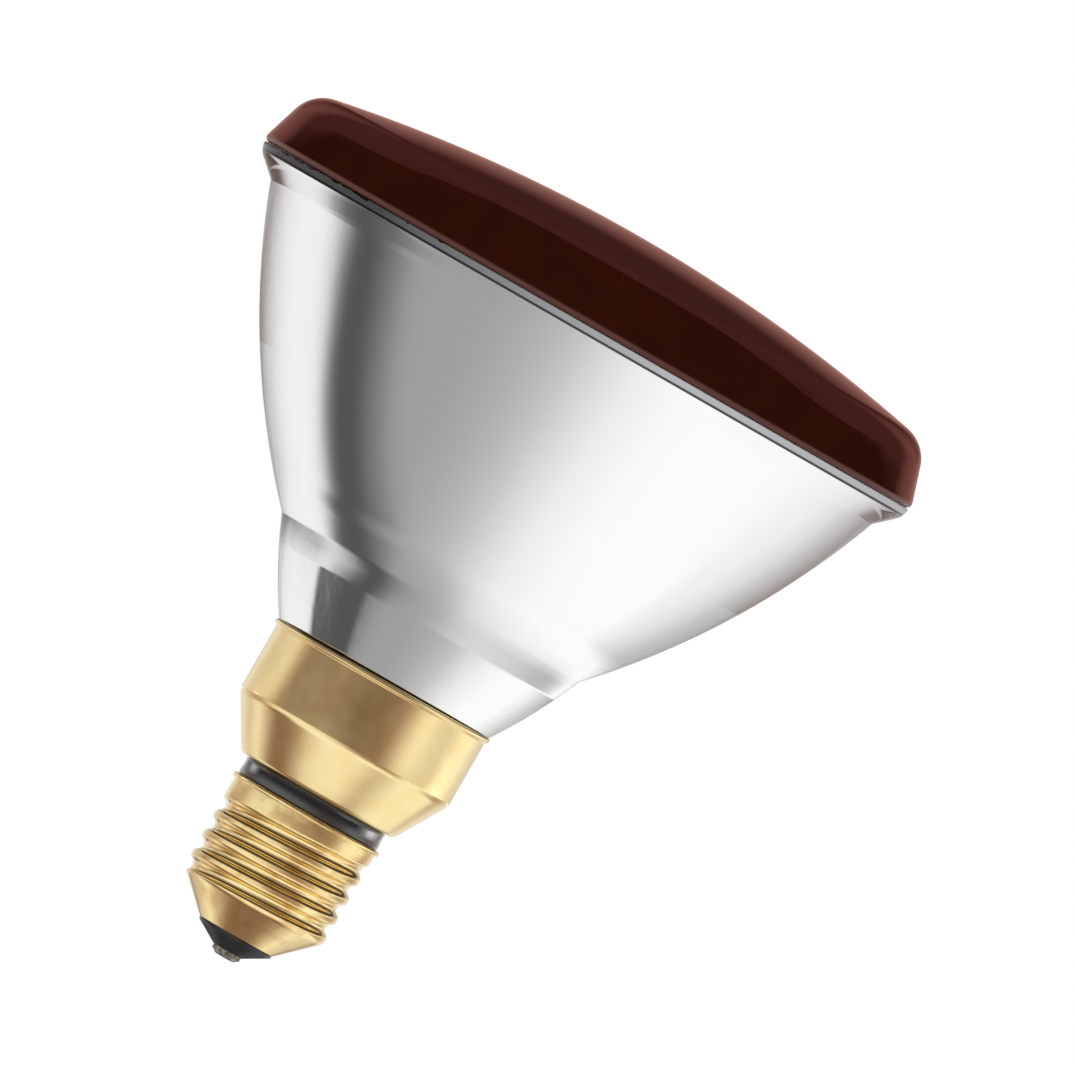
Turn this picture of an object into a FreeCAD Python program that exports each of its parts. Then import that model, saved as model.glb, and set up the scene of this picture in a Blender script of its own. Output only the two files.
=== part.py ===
import FreeCAD, Part
import math
import os
import Sketcher

# Infrared heat lamp: pressed glass reflector with a red front glass, Edison screw cap with a long skirt.
# Millimetres. The lamp's axis is Z, the centre contact's tip is at the origin and the front glass is on top.

SHEET_NAME = "Sizes"

# Each driving size: alias, value in mm (counts and factors are plain), note.
DRIVING_SIZES = [
    ("solder_cap_height", 0.55, "solder dome on the centre contact"),
    ("solder_cap_radius", 2.3, ""),
    ("solder_tip_radius", 1.2, "flat worn tip of the dome"),
    ("solder_arc_radius", 1.882, "middle of the dome's edge"),
    ("solder_arc_height", 0.193, ""),
    ("contact_plate_height", 0.7, ""),
    ("contact_plate_radius", 2.55, ""),
    ("contact_stem_radius", 1.3, "eyelet through the glass insulator"),
    ("wire_clearance", 0.05, "eyelet bore round the lead wire"),
    ("lead_wire_radius", 0.5, ""),
    ("insulator_ledge", 0.15, "insulator face beyond the contact plate"),
    ("insulator_rise", 2.35, "visible cone"),
    ("insulator_rim_radius", 6.75, ""),
    ("insulator_rim_height", 0.5, ""),
    ("insulator_depth", 3.4, "part inside the screw shell"),
    ("shell_wall", 0.35, "rolled brass sheet"),
    ("shell_nose_lip", 0.2, "shell's nose outside the insulator's rim"),
    ("shell_dome_rise", 5.8, ""),
    ("shell_dome_round", 2.0, ""),
    ("crest_radius", 13.075, "Edison screw 27, crest"),
    ("thread_depth", 1.05, ""),
    ("thread_round", 1.0, "crest and root arcs"),
    ("thread_pitch", 3.629, ""),
    ("thread_turns", 3.8, ""),
    ("thread_start_rise", 5.65, "first groove above the nose"),
    ("crest_flat", 0.045, "taken off the top of the crest's arc"),
    ("thread_zone_rise", 15.6, "dome to plain band"),
    ("band_rise", 1.0, "plain band above the thread"),
    ("lip_roll", 0.525, "rolled edge of the shell beyond the crests"),
    ("lip_rise", 0.9, ""),
    ("lip_round", 0.35, ""),
    ("ring_inset", 0.125, "black insulating ring inside the crests"),
    ("ring_rise", 3.1, ""),
    ("ring_neck_radius", 9.6, "seat of the skirt"),
    ("ring_neck_wall", 1.6, ""),
    ("ring_edge_round", 0.3, ""),
    ("spigot_wall", 1.5, ""),
    ("spigot_gap", 0.1, "spigot's end to the ledge in the shell"),
    ("ring_head_overhang", 1.4, "head over the skirt's edge"),
    ("ring_head_rise", 1.0, ""),
    ("skirt_wall", 0.6, "drawn brass"),
    ("skirt_base_radius", 14.2, ""),
    ("skirt_base_round", 1.5, ""),
    ("skirt_cone_rise", 9.0, ""),
    ("skirt_radius", 19.5, ""),
    ("skirt_shoulder_round", 2.5, ""),
    ("skirt_band_rise", 12.0, ""),
    ("skirt_lip_roll", 0.5, ""),
    ("skirt_lip_rise", 0.9, ""),
    ("skirt_lip_round", 0.3, ""),
    ("heel_clearance", 0.15, "glass heel inside the skirt"),
    ("heel_depth", 8.4, "glass below the skirt's edge"),
    ("heel_floor", 7.0, ""),
    ("heel_wall", 5.75, ""),
    ("neck_base_inset", 0.35, "foot of the neck inside the skirt's lip"),
    ("neck_rise", 15.3, ""),
    ("neck_top_wall", 2.758, "glass over the mirror, measured level"),
    ("neck_bulge", 0.42, "crown of the neck's side"),
    ("cavity_wall_rise", 5.0, "steep foot of the cavity"),
    ("cavity_wall_inset", 3.53, "inside the mirror's foot"),
    ("crease_drop", 4.3, "mirror's lower edge below the neck's top"),
    ("bowl_rise", 46.1, ""),
    ("bowl_wall", 3.368, "glass over the mirror at half the bowl's height, measured level"),
    ("rim_flare", 4.05, "bowl's top inside the rim"),
    ("rim_knee_inset", 0.55, ""),
    ("rim_knee_rise", 3.2, ""),
    ("rim_land_rise", 1.8, "knee to seam"),
    ("rim_knee_round", 2.5, ""),
    ("mirror_split", 0.6, "share of the mirror's height that its upper arc takes"),
    ("seam_width", 4.5, "glass to glass seal"),
    ("mirror_focus", 12.25, "gives the lamp its width"),
    ("mirror_vertex_rise", 3.8, "above the cavity's floor"),
    ("lens_land_rise", 1.2, ""),
    ("lens_land_round", 2.0, ""),
    ("lens_side_inset", 3.0, "where the side meets the dome, inside the rim"),
    ("lens_dome_radius", 270.0, ""),
    ("lens_rise", 16.8, "seam to the top of the dome"),
    ("lens_shoulder_round", 6.5, ""),
    ("lens_wall", 3.8, ""),
    ("lens_inner_draft", 1.8, ""),
    ("lens_inner_round", 4.0, ""),
    ("post_offset", 9.0, "lead post from the axis"),
    ("post_radius", 1.0, ""),
    ("post_foot_rise", 2.2, "post's foot above the heel's underside"),
    ("post_clearance", 0.3, ""),
    ("post_top_rise", 1.6, "post above the filament's leg"),
    ("ferrule_radius", 3.5, ""),
    ("ferrule_wall", 0.45, ""),
    ("ferrule_depth", 3.5, "sunk into the glass"),
    ("ferrule_rim_drop", 1.0, "stands out of the glass"),
    ("exhaust_radius", 3.0, "tipped-off pumping tube"),
    ("exhaust_wall", 1.1, ""),
    ("exhaust_length", 8.5, ""),
    ("exhaust_tip_rise", 2.5, ""),
    ("exhaust_tip_radius", 0.95, ""),
    ("exhaust_tip_wall", 1.5, "closed end of the tube"),
    ("filament_wire_radius", 0.2, ""),
    ("filament_coil_radius", 1.2, ""),
    ("filament_pitch", 0.9, ""),
    ("filament_turns", 14.0, ""),
    ("filament_leg_radius", 0.26, "sleeved end of the coil's wire"),
    ("leg_clearance", 0.02, "cross hole in the post"),
    ("anchor_radius", 0.25, "support wire"),
    ("anchor_loop_wire", 0.3, "radius of the wire where it closes in a loop"),
    ("anchor_clearance", 0.08, ""),
    ("bead_drop", 9.0, "glass bar below the filament"),
    ("bead_height", 3.0, ""),
    ("bead_width", 3.4, ""),
    ("bead_overhang", 1.8, ""),
    ("bead_edge_round", 0.6, ""),
    ("centre_lead_bend_drop", 8.0, "first bend below the heel's underside"),
    ("centre_lead_axis_rise", 20.0, "lead reaches the axis"),
    ("lead_bend_radius", 4.0, ""),
    ("tight_bend_radius", 2.0, "in the ring's bore"),
    ("end_bend_radius", 1.0, "above the side solder"),
    ("shell_lead_bend_drop", 5.0, ""),
    ("ring_lead_gap", 1.2, "lead to the ring's bore"),
    ("shell_lead_wall_gap", 0.3, "wire to the shell's wall"),
    ("side_solder_radius", 1.25, ""),
    ("side_solder_drop", 2.5, "solder below the plain band"),
    ("side_solder_grip", 0.7, "wire end inside the solder"),
    ("side_solder_inset", 0.75, "middle of the drop inside the shell's wall"),
    ("side_lead_run", 2.0, "straight end of the lead, from the middle of the drop"),
]

# Smallest volume in mm3 that counts as a cut.
LEAST_CUT = 1e-3

doc = FreeCAD.newDocument("heat_lamp")
sheet = doc.addObject("Spreadsheet::Sheet", SHEET_NAME)


class Size:
    # A number together with the sheet expression that gives it.
    def __init__(self, value, text):
        self.value = value
        self.text = text

    def __add__(self, other):
        other = lift(other)
        return Size(self.value + other.value, "(%s + %s)" % (self.text, other.text))

    def __sub__(self, other):
        other = lift(other)
        return Size(self.value - other.value, "(%s - %s)" % (self.text, other.text))

    def __mul__(self, other):
        other = lift(other)
        return Size(self.value * other.value, "(%s * %s)" % (self.text, other.text))

    def __truediv__(self, other):
        other = lift(other)
        return Size(self.value / other.value, "(%s / %s)" % (self.text, other.text))

    def __neg__(self):
        return Size(-self.value, "(0 - %s)" % self.text)


def lift(number):
    if isinstance(number, Size):
        return number
    return Size(float(number), "%.9g" % number if number >= 0 else "(0 - %.9g)" % -number)


def square_root(size):
    return Size(math.sqrt(size.value), "sqrt(%s)" % size.text)


class Sizes:
    # One attribute for each driving size.
    pass


size = Sizes()
for row, (alias, value, note) in enumerate(DRIVING_SIZES, start=1):
    cell = "B%d" % row
    sheet.set("A%d" % row, alias.replace("_", " "))
    sheet.set(cell, "%.9g" % value)
    sheet.set("C%d" % row, note)
    sheet.setAlias(cell, alias)
    setattr(size, alias, Size(float(value), "%s.%s" % (SHEET_NAME, alias)))
doc.recompute()

# Heights on the axis, from the centre contact's tip upwards.
contact_plate_z = size.solder_cap_height
insulator_face_z = contact_plate_z + size.contact_plate_height
insulator_rim_z = insulator_face_z + size.insulator_rise
shell_nose_z = insulator_rim_z + size.insulator_rim_height
insulator_top_z = shell_nose_z + size.insulator_depth
shell_dome_z = shell_nose_z + size.shell_dome_rise
band_z = shell_dome_z + size.thread_zone_rise
lip_z = band_z + size.band_rise
shell_top_z = lip_z + size.lip_rise
skirt_base_z = shell_top_z + size.ring_rise
skirt_shoulder_z = skirt_base_z + size.skirt_cone_rise
skirt_lip_z = skirt_shoulder_z + size.skirt_band_rise
neck_base_z = skirt_lip_z + size.skirt_lip_rise
heel_z = neck_base_z - size.heel_depth
cavity_floor_z = heel_z + size.heel_floor
neck_top_z = neck_base_z + size.neck_rise
crease_z = neck_top_z - size.crease_drop
bowl_top_z = neck_top_z + size.bowl_rise
rim_knee_z = bowl_top_z + size.rim_knee_rise
seam_z = rim_knee_z + size.rim_land_rise
lens_top_z = seam_z + size.lens_rise

# Radii that several pieces share.
root_radius = size.crest_radius - size.thread_depth
shell_bore_radius = size.crest_radius - size.shell_wall
thread_bore_radius = root_radius - size.shell_wall + size.crest_flat
shell_nose_radius = size.insulator_rim_radius + size.shell_nose_lip
ring_bore_radius = size.ring_neck_radius - size.ring_neck_wall
skirt_lip_radius = size.skirt_radius + size.skirt_lip_roll
heel_radius = size.skirt_radius - size.skirt_wall - size.heel_clearance
eyelet_bore_radius = size.lead_wire_radius + size.wire_clearance
exhaust_bore_radius = size.exhaust_radius - size.exhaust_wall
insulator_face_radius = size.contact_plate_radius + size.insulator_ledge

# The shell's cone: the wall measured along the radius is the sheet's thickness over the cosine of its slope.
dome_run = size.crest_radius - shell_nose_radius
dome_slope = dome_run / size.shell_dome_rise
dome_radial_wall = size.shell_wall * square_root(dome_slope * dome_slope + 1)
nose_bore_radius = shell_nose_radius - dome_radial_wall

# The mirror is a paraboloid with the filament at its focus.
mirror_vertex_z = cavity_floor_z + size.mirror_vertex_rise
filament_z = mirror_vertex_z + size.mirror_focus
leg_z = filament_z + size.filament_coil_radius


def mirror_radius(z):
    return square_root(size.mirror_focus * 4 * (z - mirror_vertex_z))


# Radii that follow the mirror.
seam_inner_radius = mirror_radius(seam_z)
rim_radius = seam_inner_radius + size.seam_width
bowl_top_radius = rim_radius - size.rim_flare
bowl_middle_z = neck_top_z + size.bowl_rise / 2
bowl_middle_radius = mirror_radius(bowl_middle_z) + size.bowl_wall
neck_top_radius = mirror_radius(neck_top_z) + size.neck_top_wall
neck_base_radius = skirt_lip_radius - size.neck_base_inset


def between(first, second, share):
    return first + (second - first) * share


def origin_plane(body, role):
    for feature in body.Origin.OriginFeatures:
        if feature.Role == role:
            return feature
    raise ValueError(role)


def new_body(label):
    body = doc.addObject("PartDesign::Body", label)
    body.Label = label
    return body


def new_sketch(body, name, role="XZ_Plane"):
    sketch = body.newObject("Sketcher::SketchObject", name)
    sketch.AttachmentSupport = (origin_plane(body, role), "")
    sketch.MapMode = "FlatFace"
    return sketch


def plain(x, z, through=None):
    # A sharp corner. through is a point on the arc to the next corner; without it the edge is straight.
    return {"at": (lift(x), lift(z)), "through": through, "round": None}


def rounded(x, z, radius, through=None):
    return {"at": (lift(x), lift(z)), "through": through, "round": radius}


def vector(point):
    return FreeCAD.Vector(point[0].value, point[1].value, 0)


def circle_centre(first, middle, last):
    return Part.Arc(first, middle, last).toShape().Curve.Center


def leaving_direction(start, through, end):
    # Unit tangent at start of the edge from start to end.
    if through is None:
        return (end - start).normalize()
    radius = start - circle_centre(start, through, end)
    tangent = FreeCAD.Vector(-radius.y, radius.x, 0).normalize()
    return tangent if tangent.dot(through - start) > 0 else -tangent


def place_on_sheet(sketch, geometry, vertex, point):
    # Ties a vertex to the sheet by its distances from the sketch's origin.
    for kind, axis, distance in (("DistanceX", -2, point[0]), ("DistanceY", -1, point[1])):
        if distance.value == 0:
            sketch.addConstraint(Sketcher.Constraint("PointOnObject", geometry, vertex, axis))
            continue
        ends = (-1, 1, geometry, vertex) if distance.value > 0 else (geometry, vertex, -1, 1)
        shown = distance if distance.value > 0 else -distance
        index = sketch.addConstraint(Sketcher.Constraint(kind, *ends, shown.value))
        sketch.setExpression("Constraints[%d]" % index, shown.text)


def vertex_at(sketch, geometry, point):
    # An arc in a sketch always runs anticlockwise, so its start may be either end of the edge.
    first = (sketch.getPoint(geometry, 1) - point).Length
    second = (sketch.getPoint(geometry, 2) - point).Length
    return 1 if first < second else 2


def draw_outline(sketch, corners, closed=True):
    # Straight and round edges through the corners, each corner sharp or with a tangent arc.
    count = len(corners)
    edge_count = count if closed else count - 1
    points = [vector(corner["at"]) for corner in corners]
    throughs = [vector(corner["through"]) if corner["through"] else None for corner in corners]
    arrive = list(points)
    leave = list(points)
    for index, corner in enumerate(corners):
        if corner["round"] is None:
            continue
        before = (index - 1) % count
        after = (index + 1) % count
        back = leaving_direction(points[index], throughs[before], points[before])
        onward = leaving_direction(points[index], throughs[index], points[after])
        half_turn = math.acos(max(-1.0, min(1.0, back.dot(onward)))) / 2
        reach = corner["round"].value / math.tan(half_turn)
        arrive[index] = points[index] + back * reach
        leave[index] = points[index] + onward * reach
    edges = []
    for index in range(edge_count):
        after = (index + 1) % count
        start = leave[index]
        end = arrive[after]
        if throughs[index] is None:
            edges.append(sketch.addGeometry(Part.LineSegment(start, end)))
        else:
            edges.append(sketch.addGeometry(Part.Arc(start, throughs[index], end)))
            marker = sketch.addGeometry(Part.Point(throughs[index]), True)
            sketch.addConstraint(Sketcher.Constraint("PointOnObject", marker, 1, edges[-1]))
            place_on_sheet(sketch, marker, 1, corners[index]["through"])
    for index, corner in enumerate(corners):
        first = index == 0 and not closed
        last = index == count - 1 and not closed
        if last:
            place_on_sheet(sketch, edges[-1], vertex_at(sketch, edges[-1], points[index]), corner["at"])
            continue
        outgoing = edges[index]
        outgoing_vertex = vertex_at(sketch, outgoing, leave[index])
        if first:
            place_on_sheet(sketch, outgoing, outgoing_vertex, corner["at"])
            continue
        incoming = edges[index - 1]
        incoming_vertex = vertex_at(sketch, incoming, arrive[index])
        if corner["round"] is None:
            joint = Sketcher.Constraint("Coincident", incoming, incoming_vertex, outgoing, outgoing_vertex)
            sketch.addConstraint(joint)
            place_on_sheet(sketch, outgoing, outgoing_vertex, corner["at"])
            continue
        apex = points[index]
        inward = (arrive[index] + leave[index]) / 2 - apex
        radius = corner["round"].value
        centre = apex + inward / inward.Length * math.sqrt(radius ** 2 + (arrive[index] - apex).Length ** 2)
        middle = centre + (apex - centre).normalize() * radius
        arc = sketch.addGeometry(Part.Arc(arrive[index], middle, leave[index]))
        marker = sketch.addGeometry(Part.Point(apex), True)
        arc_arrive = vertex_at(sketch, arc, arrive[index])
        arc_leave = vertex_at(sketch, arc, leave[index])
        sketch.addConstraint(Sketcher.Constraint("Tangent", incoming, incoming_vertex, arc, arc_arrive))
        sketch.addConstraint(Sketcher.Constraint("Tangent", arc, arc_leave, outgoing, outgoing_vertex))
        sketch.addConstraint(Sketcher.Constraint("PointOnObject", marker, 1, incoming))
        sketch.addConstraint(Sketcher.Constraint("PointOnObject", marker, 1, outgoing))
        place_on_sheet(sketch, marker, 1, corner["at"])
        index_of_radius = sketch.addConstraint(Sketcher.Constraint("Radius", arc, radius))
        sketch.setExpression("Constraints[%d]" % index_of_radius, corner["round"].text)


def draw_circle(sketch, centre, radius):
    circle = sketch.addGeometry(Part.Circle(vector(centre), FreeCAD.Vector(0, 0, 1), radius.value))
    place_on_sheet(sketch, circle, 3, centre)
    index = sketch.addConstraint(Sketcher.Constraint("Radius", circle, radius.value))
    sketch.setExpression("Constraints[%d]" % index, radius.text)


def revolve(body, name, corners):
    sketch = new_sketch(body, name + "_outline")
    draw_outline(sketch, corners)
    feature = body.newObject("PartDesign::Revolution", name)
    feature.Profile = sketch
    feature.ReferenceAxis = (sketch, ["V_Axis"])
    feature.Angle = 360
    body.Tip = feature
    doc.recompute()


def turn_out(body, name, corners):
    # Removes a turned hollow.
    before = body.Shape.Volume
    sketch = new_sketch(body, name + "_outline")
    draw_outline(sketch, corners)
    feature = body.newObject("PartDesign::Groove", name)
    feature.Profile = sketch
    feature.ReferenceAxis = (sketch, ["V_Axis"])
    feature.Angle = 360
    body.Tip = feature
    doc.recompute()
    require_less(body, before, name)


def cut_helix(body, name, corners, turns):
    # The groove starts at the back of the lamp, on the +Y side.
    before = body.Shape.Volume
    sketch = new_sketch(body, name + "_outline", "YZ_Plane")
    draw_outline(sketch, corners)
    feature = body.newObject("PartDesign::SubtractiveHelix", name)
    feature.Profile = sketch
    feature.ReferenceAxis = (sketch, ["V_Axis"])
    feature.Mode = "pitch-turns-angle"
    feature.setExpression("Pitch", size.thread_pitch.text)
    feature.setExpression("Turns", turns.text)
    feature.Pitch = size.thread_pitch.value
    feature.Turns = turns.value
    feature.LeftHanded = False
    feature.Reversed = False
    body.Tip = feature
    doc.recompute()
    require_less(body, before, name)


def bore(body, name, radius, centre_x, low_z, high_z):
    # Removes a round hole parallel to the axis, between two heights.
    before = body.Shape.Volume
    sketch = new_sketch(body, name + "_circle", "XY_Plane")
    sketch.setExpression("AttachmentOffset.Base.z", low_z.text)
    draw_circle(sketch, (centre_x, lift(0)), radius)
    feature = body.newObject("PartDesign::Pocket", name)
    feature.Profile = sketch
    feature.Reversed = True
    feature.Length = (high_z - low_z).value
    feature.setExpression("Length", (high_z - low_z).text)
    body.Tip = feature
    doc.recompute()
    require_less(body, before, name)


def require_less(body, before, name):
    if body.Shape.Volume > before - LEAST_CUT:
        raise ValueError("%s removed nothing from %s" % (name, body.Label))


def make_centre_solder():
    body = new_body("centre_solder")
    revolve(body, "dome", [
        plain(0, 0),
        plain(size.solder_tip_radius, 0, through=(size.solder_arc_radius, size.solder_arc_height)),
        plain(size.solder_cap_radius, contact_plate_z),
        plain(0, contact_plate_z),
    ])
    return body


def make_centre_contact():
    body = new_body("centre_contact")
    revolve(body, "eyelet", [
        plain(eyelet_bore_radius, contact_plate_z),
        plain(size.contact_plate_radius, contact_plate_z),
        plain(size.contact_plate_radius, insulator_face_z),
        plain(size.contact_stem_radius, insulator_face_z),
        plain(size.contact_stem_radius, insulator_top_z),
        plain(eyelet_bore_radius, insulator_top_z),
    ])
    return body


def make_base_insulator():
    body = new_body("base_insulator")
    inner_rise = insulator_top_z - shell_nose_z
    revolve(body, "glass", [
        plain(size.contact_stem_radius, insulator_face_z),
        plain(insulator_face_radius, insulator_face_z),
        plain(size.insulator_rim_radius, insulator_rim_z),
        plain(size.insulator_rim_radius, shell_nose_z),
        plain(nose_bore_radius, shell_nose_z),
        plain(nose_bore_radius + dome_slope * inner_rise, insulator_top_z),
        plain(size.contact_stem_radius, insulator_top_z),
    ])
    return body


def arc_offset(radius, lean):
    # Along the axis and along the radius, from an arc's centre to its point that leans by the given cosine.
    return radius * square_root(lift(1) - lean * lean), radius * lean


def thread_outline(wall):
    # Half of one thread space, as (radius, rise above the root), at a distance wall inside the outer surface.
    # A root arc and a crest arc of one radius meet where both lean alike. The outer surface's crest arc is
    # higher than the shell by crest_flat, which leaves a narrow land on top of each crest.
    depth = size.thread_depth + size.crest_flat
    lean = (size.thread_round * 2 - depth) / (size.thread_round * 2)
    half_lean = square_root((lean + 1) / 2)
    root_arc = size.thread_round + wall
    crest_arc = size.thread_round - wall
    root_centre = root_radius + size.thread_round
    crest_centre = size.crest_radius + size.crest_flat - size.thread_round
    rise, fall = arc_offset(root_arc, lean)
    middle_rise, middle_fall = arc_offset(root_arc, half_lean)
    crest_rise, crest_fall = arc_offset(crest_arc, lean)
    crest_middle_rise, crest_middle_fall = arc_offset(crest_arc, half_lean)
    half_space = rise + crest_rise
    return {
        "root": (root_centre - root_arc, lift(0)),
        "root_middle": (root_centre - middle_fall, middle_rise),
        "meeting": (root_centre - fall, rise),
        "crest_middle": (crest_centre + crest_middle_fall, half_space - crest_middle_rise),
        "crest": (crest_centre + crest_arc, half_space),
    }


def above(point, z):
    return point[0], z + point[1]


def below(point, z):
    return point[0], z - point[1]


def make_screw_shell():
    body = new_body("screw_shell")
    lip_radius = size.crest_radius + size.lip_roll
    revolve(body, "blank", [
        plain(0, shell_nose_z),
        plain(shell_nose_radius, shell_nose_z),
        rounded(size.crest_radius, shell_dome_z, size.shell_dome_round),
        plain(size.crest_radius, lip_z),
        rounded(lip_radius, lip_z, size.lip_round),
        rounded(lip_radius, shell_top_z, size.lip_round),
        plain(0, shell_top_z),
    ])
    root_z = shell_nose_z + size.thread_start_rise
    outer = thread_outline(lift(0))
    beyond = size.crest_radius + size.thread_depth
    cut_helix(body, "outer_thread", [
        plain(*below(outer["crest"], root_z), through=below(outer["crest_middle"], root_z)),
        plain(*below(outer["meeting"], root_z), through=above(outer["root"], root_z)),
        plain(*above(outer["meeting"], root_z), through=above(outer["crest_middle"], root_z)),
        plain(*above(outer["crest"], root_z)),
        plain(beyond, root_z + outer["crest"][1]),
        plain(beyond, root_z - outer["crest"][1]),
    ], size.thread_turns)
    turn_out(body, "bore", [
        plain(0, shell_nose_z),
        plain(nose_bore_radius, shell_nose_z),
        plain(thread_bore_radius, shell_nose_z + (thread_bore_radius - nose_bore_radius) / dome_slope),
        plain(thread_bore_radius, band_z),
        plain(shell_bore_radius, band_z),
        plain(shell_bore_radius, shell_top_z),
        plain(0, shell_top_z),
    ])
    # The sheet is as thick at the crests as at the roots, so the inside has a groove under each crest.
    inner = thread_outline(size.shell_wall)
    inside = thread_bore_radius - size.thread_depth
    upper_root_z = root_z + inner["crest"][1] * 2
    cut_helix(body, "inner_thread", [
        plain(*above(inner["root"], root_z), through=above(inner["root_middle"], root_z)),
        plain(*above(inner["meeting"], root_z), through=above(inner["crest"], root_z)),
        plain(*below(inner["meeting"], upper_root_z), through=below(inner["root_middle"], upper_root_z)),
        plain(*below(inner["root"], upper_root_z)),
        plain(inside, upper_root_z),
        plain(inside, root_z),
    ], size.thread_turns - 1)
    return body


def make_insulating_ring():
    body = new_body("insulating_ring")
    head_z = skirt_base_z + size.skirt_wall
    ring_radius = size.crest_radius - size.ring_inset
    head_radius = size.ring_neck_radius + size.ring_head_overhang
    revolve(body, "moulding", [
        plain(ring_bore_radius, shell_top_z),
        plain(shell_bore_radius - size.spigot_wall, shell_top_z),
        plain(shell_bore_radius - size.spigot_wall, band_z + size.spigot_gap),
        plain(shell_bore_radius, band_z + size.spigot_gap),
        plain(shell_bore_radius, shell_top_z),
        rounded(ring_radius, shell_top_z, size.ring_edge_round),
        rounded(ring_radius, skirt_base_z, size.ring_edge_round),
        plain(size.ring_neck_radius, skirt_base_z),
        plain(size.ring_neck_radius, head_z),
        plain(head_radius, head_z),
        plain(head_radius, head_z + size.ring_head_rise),
        plain(ring_bore_radius, head_z + size.ring_head_rise),
    ])
    return body


def make_skirt_collar():
    body = new_body("skirt_collar")
    cone_slope = (size.skirt_radius - size.skirt_base_radius) / size.skirt_cone_rise
    slant = square_root(cone_slope * cone_slope + 1)
    inner_radius = size.skirt_radius - size.skirt_wall
    floor_z = skirt_base_z + size.skirt_wall
    inner_shoulder_z = skirt_shoulder_z + size.skirt_wall * (slant - 1) / cone_slope
    inner_base_radius = size.skirt_base_radius + size.skirt_wall * (cone_slope - slant)
    revolve(body, "drawn_cup", [
        plain(size.ring_neck_radius, skirt_base_z),
        rounded(size.skirt_base_radius, skirt_base_z, size.skirt_base_round),
        rounded(size.skirt_radius, skirt_shoulder_z, size.skirt_shoulder_round),
        plain(size.skirt_radius, skirt_lip_z),
        rounded(skirt_lip_radius, skirt_lip_z, size.skirt_lip_round),
        rounded(skirt_lip_radius, neck_base_z, size.skirt_lip_round),
        plain(inner_radius, neck_base_z),
        rounded(inner_radius, inner_shoulder_z, size.skirt_shoulder_round),
        rounded(inner_base_radius, floor_z, size.skirt_base_round - size.skirt_wall),
        plain(size.ring_neck_radius, floor_z),
    ])
    return body


def parabola_edge(high_z, low_z):
    # Corner at the upper end of an arc that follows the mirror down to the lower height.
    middle_z = between(high_z, low_z, 0.5)
    return plain(mirror_radius(high_z), high_z, through=(mirror_radius(middle_z), middle_z))


def crowned(x, z, next_x, next_z, crown):
    # Corner whose edge to the next one bulges outwards by crown at its middle.
    x = lift(x)
    run = next_x - x
    rise = next_z - z
    length = square_root(run * run + rise * rise)
    middle = (between(x, next_x, 0.5) + rise / length * crown, between(z, next_z, 0.5) - run / length * crown)
    return plain(x, z, through=middle)


def make_reflector():
    body = new_body("reflector")
    mirror_middle_z = between(seam_z, crease_z, size.mirror_split)
    revolve(body, "pressing", [
        plain(exhaust_bore_radius, heel_z),
        plain(heel_radius, heel_z),
        plain(heel_radius, neck_base_z),
        crowned(neck_base_radius, neck_base_z, neck_top_radius, neck_top_z, size.neck_bulge),
        plain(neck_top_radius, neck_top_z, through=(bowl_middle_radius, bowl_middle_z)),
        plain(bowl_top_radius, bowl_top_z),
        rounded(rim_radius - size.rim_knee_inset, rim_knee_z, size.rim_knee_round),
        plain(rim_radius, seam_z),
        parabola_edge(seam_z, mirror_middle_z),
        parabola_edge(mirror_middle_z, crease_z),
        plain(mirror_radius(crease_z), crease_z),
        plain(mirror_radius(crease_z) - size.cavity_wall_inset, cavity_floor_z + size.cavity_wall_rise),
        plain(heel_radius - size.heel_wall, cavity_floor_z),
        plain(exhaust_bore_radius, cavity_floor_z),
    ])
    for side, x in (("right", size.post_offset), ("left", -size.post_offset)):
        bore(body, side + "_ferrule_seat", size.ferrule_radius, x, heel_z, heel_z + size.ferrule_depth)
        bore(body, side + "_post_hole", size.post_radius + size.post_clearance, x,
             heel_z + size.ferrule_depth, cavity_floor_z)
    return body


def make_front_lens():
    body = new_body("front_lens")

    def dome_z(radius, sphere, top):
        return top - sphere + square_root(sphere * sphere - radius * radius)

    def dome_edge(radius, sphere, top):
        middle = radius / 2
        return (middle, dome_z(middle, sphere, top))

    side = rim_radius - size.lens_side_inset
    outer_sphere = size.lens_dome_radius
    inner_sphere = size.lens_dome_radius - size.lens_wall
    inner_top = lens_top_z - size.lens_wall
    inner_side = seam_inner_radius - size.lens_inner_draft
    revolve(body, "pressing", [
        plain(seam_inner_radius, seam_z),
        plain(rim_radius, seam_z),
        rounded(rim_radius, seam_z + size.lens_land_rise, size.lens_land_round),
        rounded(side, dome_z(side, outer_sphere, lens_top_z), size.lens_shoulder_round,
                through=dome_edge(side, outer_sphere, lens_top_z)),
        plain(0, lens_top_z),
        plain(0, inner_top, through=dome_edge(inner_side, inner_sphere, inner_top)),
        rounded(inner_side, dome_z(inner_side, inner_sphere, inner_top), size.lens_inner_round),
    ])
    return body


def make_exhaust_tube():
    body = new_body("exhaust_tube")
    tip_z = heel_z - size.exhaust_length
    cone_z = tip_z + size.exhaust_tip_rise
    revolve(body, "glass", [
        plain(0, tip_z),
        plain(size.exhaust_tip_radius, tip_z),
        plain(size.exhaust_radius, cone_z),
        plain(size.exhaust_radius, heel_z),
        plain(exhaust_bore_radius, heel_z),
        plain(exhaust_bore_radius, cone_z),
        plain(0, tip_z + size.exhaust_tip_wall),
    ])
    return body


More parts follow.
